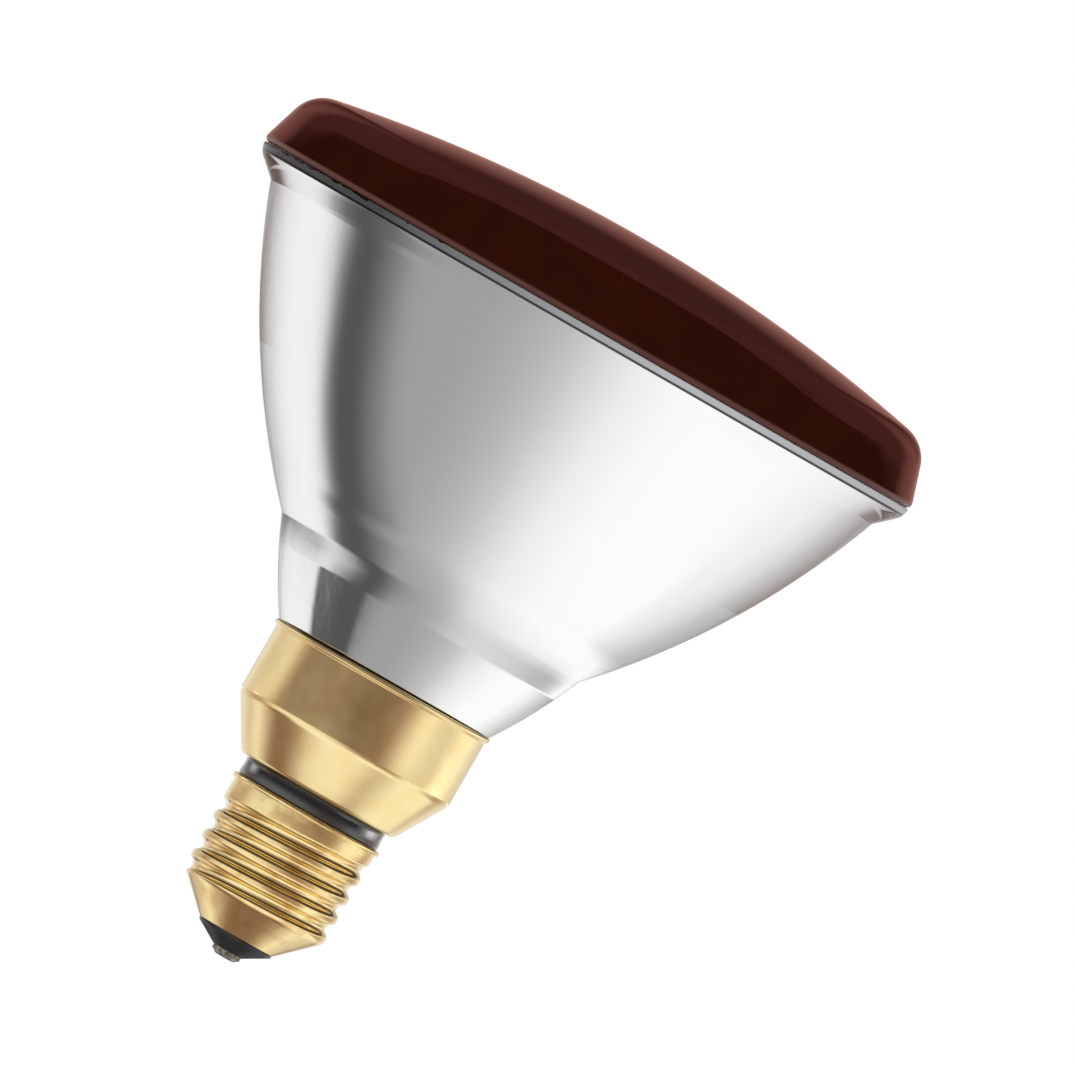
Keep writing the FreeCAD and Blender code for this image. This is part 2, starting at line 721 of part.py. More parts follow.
def make_ferrule(label, x):
    body = new_body(label)
    top_z = heel_z + size.ferrule_depth
    rim_z = heel_z - size.ferrule_rim_drop
    inner_radius = size.ferrule_radius - size.ferrule_wall
    revolve(body, "cup", [
        plain(size.post_radius, top_z),
        plain(size.ferrule_radius, top_z),
        plain(size.ferrule_radius, rim_z),
        plain(inner_radius, rim_z),
        plain(inner_radius, top_z - size.ferrule_wall),
        plain(size.post_radius, top_z - size.ferrule_wall),
    ])
    body.setExpression("Placement.Base.x", x.text)
    doc.recompute()
    return body


def along_x():
    # Turns a part that is drawn along Z so that it lies along X.
    return FreeCAD.Placement(FreeCAD.Vector(0, 0, 0), FreeCAD.Rotation(FreeCAD.Vector(0, 1, 0), 90))


def make_lead_post(label, x):
    # A round rod, cross-drilled near its top for the filament's leg.
    rod = doc.addObject("Part::Cylinder", label + "_rod")
    foot_z = heel_z + size.post_foot_rise
    drill_reach = size.post_radius * 2
    rod.setExpression("Radius", size.post_radius.text)
    rod.setExpression("Height", (leg_z + size.post_top_rise - foot_z).text)
    rod.setExpression("Placement.Base.x", x.text)
    rod.setExpression("Placement.Base.z", foot_z.text)
    drill = doc.addObject("Part::Cylinder", label + "_drill")
    drill.setExpression("Radius", (size.filament_leg_radius + size.leg_clearance).text)
    drill.setExpression("Height", (drill_reach * 2).text)
    drill.Placement = along_x()
    drill.setExpression("Placement.Base.x", (x - drill_reach).text)
    drill.setExpression("Placement.Base.z", leg_z.text)
    post = doc.addObject("Part::Cut", label)
    post.Label = label
    post.Base = rod
    post.Tool = drill
    doc.recompute()
    return post


def make_filament():
    # A coil along X at the mirror's focus, with a straight leg at each end that enters a lead post.
    coil_length = size.filament_pitch * size.filament_turns
    body = new_body("filament")
    section = new_sketch(body, "section", "XZ_Plane")
    draw_circle(section, (-(coil_length / 2), leg_z), size.filament_wire_radius)
    left_end = (-(coil_length / 2), filament_z)
    right_end = (coil_length / 2, filament_z)
    line = section.addGeometry(Part.LineSegment(vector(left_end), vector(right_end)), True)
    place_on_sheet(section, line, 1, left_end)
    place_on_sheet(section, line, 2, right_end)
    coil = body.newObject("PartDesign::AdditiveHelix", "coil")
    coil.Profile = section
    coil.ReferenceAxis = (section, ["Axis0"])
    coil.Mode = "pitch-turns-angle"
    coil.setExpression("Pitch", size.filament_pitch.text)
    coil.setExpression("Turns", size.filament_turns.text)
    body.Tip = coil
    doc.recompute()
    pieces = [body]
    leg_end = size.post_offset + size.post_radius
    leg_start = coil_length / 2 - size.filament_leg_radius
    for side, start_x in (("left", -leg_end), ("right", leg_start)):
        leg = doc.addObject("Part::Cylinder", side + "_leg")
        leg.setExpression("Radius", size.filament_leg_radius.text)
        leg.setExpression("Height", (leg_end - leg_start).text)
        leg.Placement = along_x()
        leg.setExpression("Placement.Base.x", start_x.text)
        leg.setExpression("Placement.Base.z", leg_z.text)
        pieces.append(leg)
    body.Label = "filament_coil"
    filament = doc.addObject("Part::MultiFuse", "filament_wire")
    filament.Label = "filament"
    filament.Shapes = pieces
    doc.recompute()
    return filament


def make_bridge_bead():
    # A glass bar fused round both posts and round the foot of the support wire.
    body = new_body("bridge_bead")
    half_length = size.post_offset + size.bead_overhang
    top_z = filament_z - size.bead_drop
    low_z = top_z - size.bead_height
    sketch = new_sketch(body, "bar_outline", "XZ_Plane")
    draw_outline(sketch, [
        rounded(-half_length, low_z, size.bead_edge_round),
        rounded(half_length, low_z, size.bead_edge_round),
        rounded(half_length, top_z, size.bead_edge_round),
        rounded(-half_length, top_z, size.bead_edge_round),
    ])
    bar = body.newObject("PartDesign::Pad", "bar")
    bar.Profile = sketch
    bar.SideType = "Symmetric"
    bar.setExpression("Length", size.bead_width.text)
    body.Tip = bar
    doc.recompute()
    for side, x in (("right", size.post_offset), ("left", -size.post_offset)):
        bore(body, side + "_post_hole", size.post_radius, x, low_z, top_z)
    bore(body, "anchor_hole", size.anchor_radius, lift(0), between(low_z, top_z, 0.5), top_z)
    return body


def make_filament_anchor():
    # A wire that rises from the bar and closes in a loop round the middle of the coil.
    coil_radius = size.filament_coil_radius + size.filament_wire_radius
    loop_radius = coil_radius + size.anchor_clearance + size.anchor_loop_wire
    foot_z = filament_z - size.bead_drop - size.bead_height / 2
    stem = doc.addObject("Part::Cylinder", "anchor_stem")
    stem.setExpression("Radius", size.anchor_radius.text)
    stem.setExpression("Height", (filament_z - loop_radius - foot_z).text)
    stem.setExpression("Placement.Base.z", foot_z.text)
    loop = doc.addObject("Part::Torus", "anchor_loop")
    loop.setExpression("Radius1", loop_radius.text)
    loop.setExpression("Radius2", size.anchor_loop_wire.text)
    loop.Placement = along_x()
    loop.setExpression("Placement.Base.z", filament_z.text)
    anchor = doc.addObject("Part::Fuse", "filament_anchor")
    anchor.Label = "filament_anchor"
    anchor.Base = stem
    anchor.Tool = loop
    doc.recompute()
    return anchor


def make_lead_wire(label, corners):
    # A round wire along straight runs joined by tangent arcs, starting straight down from the post's foot.
    body = new_body(label)
    path = new_sketch(body, label + "_path", "XZ_Plane")
    draw_outline(path, corners, closed=False)
    start = corners[0]["at"]
    section = new_sketch(body, label + "_section", "XY_Plane")
    section.setExpression("AttachmentOffset.Base.z", start[1].text)
    draw_circle(section, (start[0], lift(0)), size.lead_wire_radius)
    doc.recompute()
    pipe = body.newObject("PartDesign::AdditivePipe", label + "_pipe")
    pipe.Profile = section
    pipe.Spine = path
    body.Tip = pipe
    doc.recompute()
    return body


def make_lead_wires():
    foot_z = heel_z + size.post_foot_rise
    centre_lead = make_lead_wire("lead_wire_centre", [
        plain(size.post_offset, foot_z),
        rounded(size.post_offset, heel_z - size.centre_lead_bend_drop, size.lead_bend_radius),
        rounded(0, size.centre_lead_axis_rise, size.lead_bend_radius),
        plain(0, contact_plate_z),
    ])
    solder_z = band_z - size.side_solder_drop
    wall_x = -(thread_bore_radius - size.lead_wire_radius - size.shell_lead_wall_gap)
    ring_x = -(ring_bore_radius - size.ring_lead_gap - size.lead_wire_radius)
    ring_top_z = skirt_base_z + size.skirt_wall + size.ring_head_rise
    shell_lead = make_lead_wire("lead_wire_shell", [
        plain(-size.post_offset, foot_z),
        rounded(-size.post_offset, heel_z - size.shell_lead_bend_drop, size.lead_bend_radius),
        rounded(ring_x, ring_top_z + size.lead_wire_radius * 2, size.lead_bend_radius),
        rounded(ring_x, shell_top_z, size.tight_bend_radius),
        rounded(wall_x, solder_z + size.side_lead_run, size.end_bend_radius),
        plain(wall_x, solder_z + size.side_solder_radius - size.side_solder_grip),
    ])
    return centre_lead, shell_lead


def make_side_solder(shell_lead):
    # A drop of solder against the shell's inner wall, with the wire's end sunk in it.
    drop = doc.addObject("Part::Sphere", "side_solder_drop")
    drop.setExpression("Radius", size.side_solder_radius.text)
    drop.setExpression("Placement.Base.x", (size.side_solder_inset - thread_bore_radius).text)
    drop.setExpression("Placement.Base.z", (band_z - size.side_solder_drop).text)
    inside = doc.addObject("Part::Cylinder", "side_solder_limit")
    inside.setExpression("Radius", thread_bore_radius.text)
    inside.setExpression("Height", band_z.text)
    wetted = doc.addObject("Part::Common", "side_solder_wetted")
    wetted.Base = drop
    wetted.Tool = inside
    solder = doc.addObject("Part::Cut", "side_solder")
    solder.Label = "side_solder"
    solder.Base = wetted
    solder.Tool = shell_lead
    doc.recompute()
    return solder


def make_all():
    pieces = [
        make_centre_solder(),
        make_centre_contact(),
        make_base_insulator(),
        make_screw_shell(),
        make_insulating_ring(),
        make_skirt_collar(),
        make_reflector(),
        make_front_lens(),
        make_exhaust_tube(),
        make_ferrule("ferrule_centre", size.post_offset),
        make_ferrule("ferrule_shell", -size.post_offset),
        make_lead_post("lead_post_centre", size.post_offset),
        make_lead_post("lead_post_shell", -size.post_offset),
        make_filament(),
        make_bridge_bead(),
        make_filament_anchor(),
    ]
    centre_lead, shell_lead = make_lead_wires()
    return pieces + [centre_lead, shell_lead, make_side_solder(shell_lead)]


def check_document(pieces):
    doc.recompute()
    for item in doc.Objects:
        if "Invalid" in item.State or "Error" in item.State:
            raise RuntimeError("%s: %s" % (item.Label, item.State))
    for piece in pieces:
        shape = piece.Shape
        if shape.isNull() or not shape.isValid() or len(shape.Solids) != 1:
            raise RuntimeError("%s: %d solids" % (piece.Label, len(shape.Solids)))


def write_parts(pieces):
    os.makedirs("parts", exist_ok=True)
    for piece in pieces:
        piece.Shape.exportStep(os.path.join("parts", piece.Label + ".step"))
        box = piece.Shape.optimalBoundingBox()
        print("%-18s %9.1f mm3  x %.2f..%.2f  z %.2f..%.2f" % (
            piece.Label, piece.Shape.Volume, box.XMin, box.XMax, box.ZMin, box.ZMax))


lamp_pieces = make_all()
check_document(lamp_pieces)
write_parts(lamp_pieces)
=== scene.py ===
import bpy
import bmesh
import math
import numpy as np
from mathutils import Matrix, Vector


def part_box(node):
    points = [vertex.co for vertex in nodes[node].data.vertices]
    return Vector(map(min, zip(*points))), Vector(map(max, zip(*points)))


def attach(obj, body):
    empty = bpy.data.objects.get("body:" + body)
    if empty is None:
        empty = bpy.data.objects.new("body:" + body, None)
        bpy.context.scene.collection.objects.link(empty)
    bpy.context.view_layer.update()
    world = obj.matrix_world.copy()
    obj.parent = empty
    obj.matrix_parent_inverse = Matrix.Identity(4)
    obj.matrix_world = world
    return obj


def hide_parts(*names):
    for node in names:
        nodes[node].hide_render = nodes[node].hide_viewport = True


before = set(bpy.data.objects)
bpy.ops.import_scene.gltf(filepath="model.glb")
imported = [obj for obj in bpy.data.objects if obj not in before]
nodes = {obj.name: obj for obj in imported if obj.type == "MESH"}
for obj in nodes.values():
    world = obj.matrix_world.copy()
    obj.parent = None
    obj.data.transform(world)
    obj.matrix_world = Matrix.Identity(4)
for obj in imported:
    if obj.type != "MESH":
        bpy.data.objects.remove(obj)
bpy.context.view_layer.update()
print("frame loaded:", len(nodes), "nodes")

mm = 0.001

# Heights and radii that several pieces share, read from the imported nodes.
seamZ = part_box("front_lens")[0].z
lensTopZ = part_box("front_lens")[1].z
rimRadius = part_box("reflector")[1].x
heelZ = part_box("reflector")[0].z
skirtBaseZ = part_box("skirt_collar")[0].z
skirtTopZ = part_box("skirt_collar")[1].z
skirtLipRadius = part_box("skirt_collar")[1].x
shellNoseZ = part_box("screw_shell")[0].z
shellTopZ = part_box("screw_shell")[1].z
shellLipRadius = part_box("screw_shell")[1].x
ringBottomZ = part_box("insulating_ring")[0].z
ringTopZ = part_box("insulating_ring")[1].z
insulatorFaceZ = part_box("base_insulator")[0].z
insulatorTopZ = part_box("base_insulator")[1].z


def linearColour(hexText):
    # sRGB hex to the linear RGBA that shaders use.
    srgb = np.array([int(hexText[i:i + 2], 16) for i in (1, 3, 5)]) / 255
    linear = np.where(srgb <= 0.04045, srgb / 12.92, ((srgb + 0.055) / 1.055) ** 2.4)
    return (*linear.tolist(), 1.0)


def grey(value):
    return (value, value, value, 1.0)


def warm(value, amount=0):
    # A grey that an amount of 1 turns brown. Dark cards are brown, so the shadows in brass stay warm.
    return (value, value * (1 - 0.31 * amount), value * (1 - 0.42 * amount), 1.0)


def stopsWithin(reach, table):
    # table: (place, brightness, warmth) rows, with places from -reach to reach moved to the ramp's 0 to 1.
    return [((row[0] + reach) / (2 * reach), warm(*row[1:])) for row in table]


def linkSockets(node, links):
    # links: socket to its source, an output socket or a node, which stands for its first output in use.
    for name, source in links.items():
        if isinstance(source, bpy.types.Node):
            source = next(output for output in source.outputs if output.enabled)
        node.id_data.links.new(source, node.inputs[name])


def addNode(tree, kind, settings=None, links=None):
    # Keys of settings are sockets or properties. Sockets by number: a Map Range maps 1 and 2 to 3 and 4, a Mix has
    # its share in 0 and its sides in 2 and 3 for numbers, 4 and 5 for vectors, 6 and 7 for colours.
    node = tree.nodes.new("ShaderNode" + kind)
    for name, value in (settings or {}).items():
        if isinstance(name, int) or name in node.inputs:
            node.inputs[name].default_value = value
        else:
            setattr(node, name, value)
    linkSockets(node, links or {})
    return node


colourMix = {"data_type": "RGBA"}


def newMaterial(name, settings):
    # A material with its Principled shader set; patterns are linked to it afterwards.
    material = bpy.data.materials.new(name)
    material.use_nodes = True
    tree = material.node_tree
    shader = tree.nodes["Principled BSDF"]
    for socket, value in settings.items():
        shader.inputs[socket].default_value = value
    return material, tree, shader


def addObject(name, data):
    made = bpy.data.objects.new(name, data)
    bpy.context.scene.collection.objects.link(made)
    return made


def setRamp(node, stops):
    # stops: (position, linear colour) pairs, in rising order.
    ramp = node.color_ramp
    while len(ramp.elements) < len(stops):
        ramp.elements.new(0.5)
    for element, (position, colour) in zip(ramp.elements, stops):
        element.position = position
        element.color = colour


# Camera. The photo was taken from far away with the lamp's axis leaning to the right.
cameraView = {
    "distance": 7.0,
    "roll": 29.85,  # degrees that the lamp's axis leans from the vertical
    "elevation": 0.3,  # degrees above the horizon
    "pixelsPerMetre": 6140.0,
    "imageSize": (1074, 1078),
    "aimX": 0.01034,  # the lamp's own x and z in the middle of the picture
    "aimZ": 0.08453,
}


def makeCamera(view):
    roll = math.radians(view["roll"])
    elevation = math.radians(view["elevation"])
    back = Vector((0, -math.cos(elevation), math.sin(elevation)))
    side = Vector((1, 0, 0))
    upright = back.cross(side)
    right = side * math.cos(roll) + upright * math.sin(roll)
    up = upright * math.cos(roll) - side * math.sin(roll)
    data = bpy.data.cameras.new("camera")
    data.sensor_width = 36.0
    longSide = max(view["imageSize"]) / view["pixelsPerMetre"]
    data.lens = data.sensor_width * view["distance"] / longSide
    data.clip_end = 100.0
    camera = addObject("camera", data)
    turn = Matrix((right, up, back)).transposed().to_4x4()
    aim = Vector((view["aimX"], 0, view["aimZ"]))
    camera.matrix_world = Matrix.Translation(aim + back * view["distance"]) @ turn
    bpy.context.scene.camera = camera


makeCamera(cameraView)
print("camera set")


# Outlines and turned pieces.
def edgePoints(start, end, crown, count):
    # Points from start to end on a circular arc whose middle stands off the chord by crown, to the right of
    # the direction of travel. Angle on the circle: 4 atan(2 crown / chord) in all. No crown gives a line.
    share = np.linspace(0, 1, count)
    start, end = np.array(start, float), np.array(end, float)
    chord = end - start
    length = np.hypot(*chord)
    if abs(crown) < 1e-9:
        return start + share[:, None] * chord
    turn = 4 * math.atan(2 * crown / length)
    radius = length / 2 / math.sin(turn / 2)
    angle = turn * (share - 0.5)
    along = length / 2 + radius * np.sin(angle)
    off = radius * np.cos(angle) - radius * math.cos(turn / 2)
    direction = chord / length
    normal = np.array([direction[1], -direction[0]])
    return start + along[:, None] * direction + off[:, None] * normal


def trimmed(points, reach, atStart):
    # Drops the stretch of a polyline that is nearer to one end than reach, measured along it.
    line = points if atStart else points[::-1]
    steps = np.hypot(*np.diff(line, axis=0).T)
    run = np.concatenate([[0], np.cumsum(steps)])
    cut = np.array([np.interp(reach, run, line[:, i]) for i in range(2)])
    kept = np.vstack([cut, line[run > reach + 1e-9]])
    return kept if atStart else kept[::-1]


def outlinePoints(corners, closed=True):
    # corners: (radius, height, fillet, crown) in metres. Each corner is rounded by a rational quadratic
    # curve through its two tangent points with the weight cos(half turn), which is a circular arc.
    linePoints, crownPoints, filletPoints = 4, 72, 15
    count = len(corners)
    edges = []
    for index in range(count if closed else count - 1):
        here, there = corners[index], corners[(index + 1) % count]
        edges.append(edgePoints(here[:2], there[:2], here[3],
                                linePoints if abs(here[3]) < 1e-9 else crownPoints))
    for index, corner in enumerate(corners):
        if corner[2] <= 0 or not closed and index in (0, count - 1):
            continue
        before, after = edges[index - 1], edges[index % len(edges)]
        arrive = before[-1] - before[-2]
        leave = after[1] - after[0]
        arrive, leave = arrive / np.hypot(*arrive), leave / np.hypot(*leave)
        turn = math.acos(max(-1.0, min(1.0, float(arrive @ leave))))
        reach = corner[2] * math.tan(turn / 2)
        edges[index - 1] = trimmed(before, reach, False)
        edges[index % len(edges)] = trimmed(after, reach, True)
    pieces = []
    for index in range(len(edges)):
        following = (index + 1) % count
        corner = corners[following]
        pieces.append(edges[index][:-1] if corner[2] <= 0 else edges[index])
        if corner[2] > 0 and (closed or following not in (0, count - 1)):
            first, last = edges[index][-1], edges[(index + 1) % len(edges)][0]
            apex = np.array(corner[:2])
            share = np.linspace(0, 1, filletPoints)[1:-1, None]
            back, onward = first - apex, last - apex
            halfCosine = math.sqrt((1 - float(back @ onward) / np.hypot(*back) / np.hypot(*onward)) / 2)
            a, b, c = (1 - share) ** 2, 2 * share * (1 - share) * halfCosine, share ** 2
            pieces.append((a * first + b * apex + c * last) / (a + b + c))
    if not closed:
        pieces.append(edges[-1][-1:])
    return np.vstack(pieces)


def finishMesh(name, vertices, faces, materials, slotName, sharpDegrees=28, faceMaterials=None):
    # faceMaterials: for each face an index into materials.
    mesh = bpy.data.meshes.new(name)
    mesh.from_pydata(vertices, [], faces)
    for material in materials:
        mesh.materials.append(material)
    if faceMaterials is not None:
        mesh.polygons.foreach_set("material_index", faceMaterials)
    work = bmesh.new()
    work.from_mesh(mesh)
    bmesh.ops.remove_doubles(work, verts=work.verts, dist=1e-7)
    bmesh.ops.recalc_face_normals(work, faces=work.faces)
    work.to_mesh(mesh)
    work.free()
    mesh.shade_smooth()
    mesh.set_sharp_from_angle(angle=math.radians(sharpDegrees))
    piece = addObject(name, mesh)
    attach(piece, "root")
    return piece


def gridFaces(rows, columns, closedRows):
    # Quads of a grid that is closed round its columns, and round its rows too if closedRows.
    row = np.arange(rows if closedRows else rows - 1)[:, None]
    column = np.arange(columns)[None, :]
    nextRow = (row + 1) % rows
    nextColumn = (column + 1) % columns
    quads = np.stack([row * columns + column, row * columns + nextColumn,
                      nextRow * columns + nextColumn, nextRow * columns + column], axis=-1)
    return quads.reshape(-1, 4)


def turned(outline, columns):
    # Surface of revolution: (r cos a, r sin a, z) for each outline point (r, z) and angle a.
    angle = np.linspace(0, 2 * math.pi, columns, endpoint=False)
    radius, height = outline[:, 0:1], outline[:, 1:2]
    points = np.stack([radius * np.cos(angle), radius * np.sin(angle), height + 0 * angle], axis=-1)
    return points.reshape(-1, 3), gridFaces(len(outline), columns, True).tolist()


def turnedPiece(name, corners, material, slotName, columns):
    return finishMesh(name, *turned(outlinePoints(corners), columns), [material], slotName)


# Materials.
def objectCoordinates(tree, cells):
    # The link that gives a pattern so many cells per metre along the object's x, y and z.
    place = addNode(tree, "TexCoord")
    return {"Vector": addNode(tree, "Mapping", {"Scale": cells}, {"Vector": place.outputs["Object"]})}


def objectParts(tree):
    # x, y and z of the Object coordinates.
    place = addNode(tree, "TexCoord")
    return addNode(tree, "SeparateXYZ", links={"Vector": place.outputs["Object"]})


# Where the bowl is fused to the front glass.
seamLook = {
    "lineDrop": 1.8 * mm,  # the grey line and the groove under it are so far below the seam
    "paintedShadeX": (-38 * mm, 15 * mm),  # painted shade makes both darkest at the first x, with none from the second one on
    "fleckX": (-45 * mm, -20 * mm),  # flecks are thickest at the first x
    "paintedHighlightRise": (0.8 * mm, 1.3 * mm),  # over the seam the front glass carries a pale painted highlight up to here, and is red from there on
}


def makePressedGlass(look):
    # Clear borosilicate glass from the press, a thin skin over the film: a low IOR keeps the film's reflections
    # from bending at the neck and the rim. Where its rim is fused to the front glass there is a dull grey line
    # with a dark groove under it and small flecks along the seam; painted shade darkens line and groove on one side.
    material, tree, shader = newMaterial("pressedGlass", {
        "Roughness": 0.02,
        "IOR": 1.13,
    })
    parts = objectParts(tree)
    rise = addNode(tree, "MapRange", {1: seamZ - look["lineDrop"], 2: seamZ}, {"Value": parts.outputs["Z"]})
    clear = addNode(tree, "ValToRGB", links={"Fac": rise})
    setRamp(clear, [(0.12, (1, 1, 1, 1)), (0.2, (0, 0, 0, 1))])
    line = addNode(tree, "ValToRGB", links={"Fac": rise})
    setRamp(line, [(0.12, linearColour("#fcfcfc")), (0.2, linearColour("#4a4a4c")), (0.34, linearColour("#4a4a4c")),
                   (0.44, linearColour("#bdbdc0")), (1.0, linearColour("#bdbdc0"))])
    darkX, paleX = look["paintedShadeX"]
    # Painted shade: the line and the groove are multiplied darker towards darkX.
    side = addNode(tree, "MapRange", {1: darkX, 2: paleX, 3: 0.14, 4: 1.0}, {"Value": parts.outputs["X"]})
    shade = addNode(tree, "Math", {"operation": "MAXIMUM"}, {0: side, 1: clear})
    shaded = addNode(tree, "Mix", {**colourMix, "blend_type": "MULTIPLY", 0: 1.0}, {6: line, 7: shade})
    grains = addNode(tree, "TexNoise", {"Scale": 1.0, "Detail": 2.0}, objectCoordinates(tree, (380, 380, 1500)))
    nearSeam = addNode(tree, "MapRange", {1: 0.6, 2: 0.85}, {"Value": rise})
    thickX, thinX = look["fleckX"]
    share = addNode(tree, "MapRange", {1: thickX, 2: thinX, 3: 0.46, 4: 0.3}, {"Value": parts.outputs["X"]})
    limit = addNode(tree, "Math", {"operation": "MULTIPLY"}, {0: nearSeam, 1: share})
    fleck = addNode(tree, "Math", {"operation": "LESS_THAN"}, {0: grains, 1: limit})
    flecked = addNode(tree, "Mix", {**colourMix, 7: linearColour("#1c1414")}, {0: fleck, 6: shaded})
    linkSockets(shader, {"Base Color": flecked, "Transmission Weight": clear})
    return material


# Where the film's normals are steered, under the bowl.
filmLook = {
    "creaseZ": 63.4 * mm,  # the neck's film ends here and the foot of the bowl begins
    "creaseBlend": 0.2 * mm,
    "neckSlope": 0.54,
    "footSlope": 0.58,
    "footTopSlope": 0.78,
    "footTopZ": 75 * mm,
    "footFadeZ": 66 * mm,  # the foot's turn fades from here to its top
    "steeredZ": 72 * mm,  # up to here the normals are the steered ones
    "ownZ": 77 * mm,  # and from here on the film's own
    "waveZ": (62.5 * mm, 66 * mm),  # the waves are strong up to the first height and faint above the second
    "neckDegrees": -15,
    "footDegrees": -60,
    # (x / r, share of the degrees) round the front half
    "neckTurns": [(-0.95, 0), (-0.74, 0.4), (-0.69, 0.17), (-0.6, 0.5), (-0.4, 1), (-0.34, 0.72), (-0.2, 0.85),
                  (0, 1), (0.7, 1), (0.92, 0)],
    "footTurns": [(-0.95, 0), (-0.74, 0.12), (-0.6, 0.15), (-0.5, 0.2), (-0.4, 0.23), (-0.3, 0.22), (-0.2, 0.2),
                  (0, 0.23), (0.1, 0.19), (0.2, 0.16), (0.3, 0.19), (0.4, 0.25), (0.5, 0.34), (0.6, 0.45),
                  (0.7, 0.58), (0.8, 0.75), (0.87, 0.85), (0.93, 0.85), (1, 0.7)],
    "frontEdge": -0.3,  # y / r where the turn starts to fade
    "frontEnd": 0.05,  # and where there is none left
}


def makeAluminiumFilm(look):
    # Aluminium evaporated on the inside of the bowl. The press leaves soft waves in it, stronger in the neck, and
    # a fine grain. Under the bowl the thick glass turns the film's reflections: the normal there is
    # (x / r, y / r, -slope), with one slope for the bowl's foot and another for the neck, turned round the axis
    # on the front half of the lamp.
    material, tree, shader = newMaterial("aluminiumFilm", {
        "Base Color": linearColour("#fbfbfb"),
        "Metallic": 1.0,
        "Roughness": 0.12,
    })
    place = addNode(tree, "TexCoord")
    height = addNode(tree, "SeparateXYZ", links={"Vector": place.outputs["Object"]}).outputs["Z"]
    face = addNode(tree, "NewGeometry")
    creaseFrom, creaseTo = look["creaseZ"] - look["creaseBlend"], look["creaseZ"] + look["creaseBlend"]
    neck = addNode(tree, "MapRange", {1: creaseFrom, 2: creaseTo, 3: 1.0, 4: 0.0}, {"Value": height})
    footSlope = addNode(tree, "MapRange", {
        1: look["creaseZ"], 2: look["footTopZ"], 3: -look["footSlope"], 4: -look["footTopSlope"]}, {"Value": height})
    slope = addNode(tree, "Mix", {3: -look["neckSlope"]}, {0: neck, 2: footSlope})
    lean = addNode(tree, "CombineXYZ", links={"Z": slope})
    flat = addNode(tree, "VectorMath", {"operation": "MULTIPLY", 1: (1, 1, 0)}, {0: place.outputs["Object"]})
    outward = addNode(tree, "VectorMath", {"operation": "NORMALIZE"}, {0: flat})
    leaning = addNode(tree, "VectorMath", {"operation": "ADD"}, {0: outward, 1: lean})
    across = addNode(tree, "SeparateXYZ", links={"Vector": outward})
    acrossShare = addNode(tree, "MapRange", {1: -1.0, 2: 1.0}, {"Value": across.outputs["X"]})
    turns = []
    for part in ("neck", "foot"):
        bend = addNode(tree, "ValToRGB", links={"Fac": acrossShare})
        setRamp(bend, stopsWithin(1, look[part + "Turns"]))
        turns.append(addNode(tree, "Math", {
            "operation": "MULTIPLY", 1: math.radians(look[part + "Degrees"])}, {0: bend}))
    foot = addNode(tree, "MapRange", {1: look["footFadeZ"], 2: look["footTopZ"], 3: 1.0, 4: 0.0}, {"Value": height})
    footTurn = addNode(tree, "Math", {"operation": "MULTIPLY"}, {0: turns[1], 1: foot})
    turn = addNode(tree, "Mix", links={0: neck, 2: footTurn, 3: turns[0]})
    frontHalf = addNode(tree, "MapRange", {1: look["frontEdge"], 2: look["frontEnd"], 3: 1.0, 4: 0.0}, {
        "Value": across.outputs["Y"]})
    frontTurn = addNode(tree, "Math", {"operation": "MULTIPLY"}, {0: turn, 1: frontHalf})
    rotated = addNode(tree, "VectorRotate", {"rotation_type": "Z_AXIS"}, {"Vector": leaning, "Angle": frontTurn})
    steered = addNode(tree, "VectorMath", {"operation": "NORMALIZE"}, {0: rotated})
    underBowl = addNode(tree, "MapRange", {1: look["steeredZ"], 2: look["ownZ"], 3: 1.0, 4: 0.0}, {"Value": height})
    outside = addNode(tree, "Math", {"operation": "MULTIPLY"}, {0: underBowl, 1: face.outputs["Backfacing"]})
    normal = addNode(tree, "Mix", {"data_type": "VECTOR"}, {0: outside, 4: face.outputs["Normal"], 5: steered})
    waves = addNode(tree, "TexNoise", {"Scale": 1.0, "Detail": 1.0}, objectCoordinates(tree, (95, 95, 60)))
    strongZ, faintZ = look["waveZ"]
    strength = addNode(tree, "MapRange", {1: strongZ, 2: faintZ, 3: 0.5, 4: 0.2}, {"Value": height})
    wave = addNode(tree, "Bump", {"Distance": 0.00016}, {"Height": waves, "Strength": strength, "Normal": normal})
    grain = addNode(tree, "TexNoise", {"Scale": 1.0, "Detail": 3.0}, objectCoordinates(tree, (900, 900, 900)))
    pebbled = addNode(tree, "MapRange", {1: creaseFrom, 2: creaseTo, 3: 0.5, 4: 0.12}, {"Value": height})
    fine = addNode(tree, "Bump", {"Distance": 0.00003}, {"Height": grain, "Strength": pebbled, "Normal": wave})
    linkSockets(shader, {"Normal": fine})
    return material


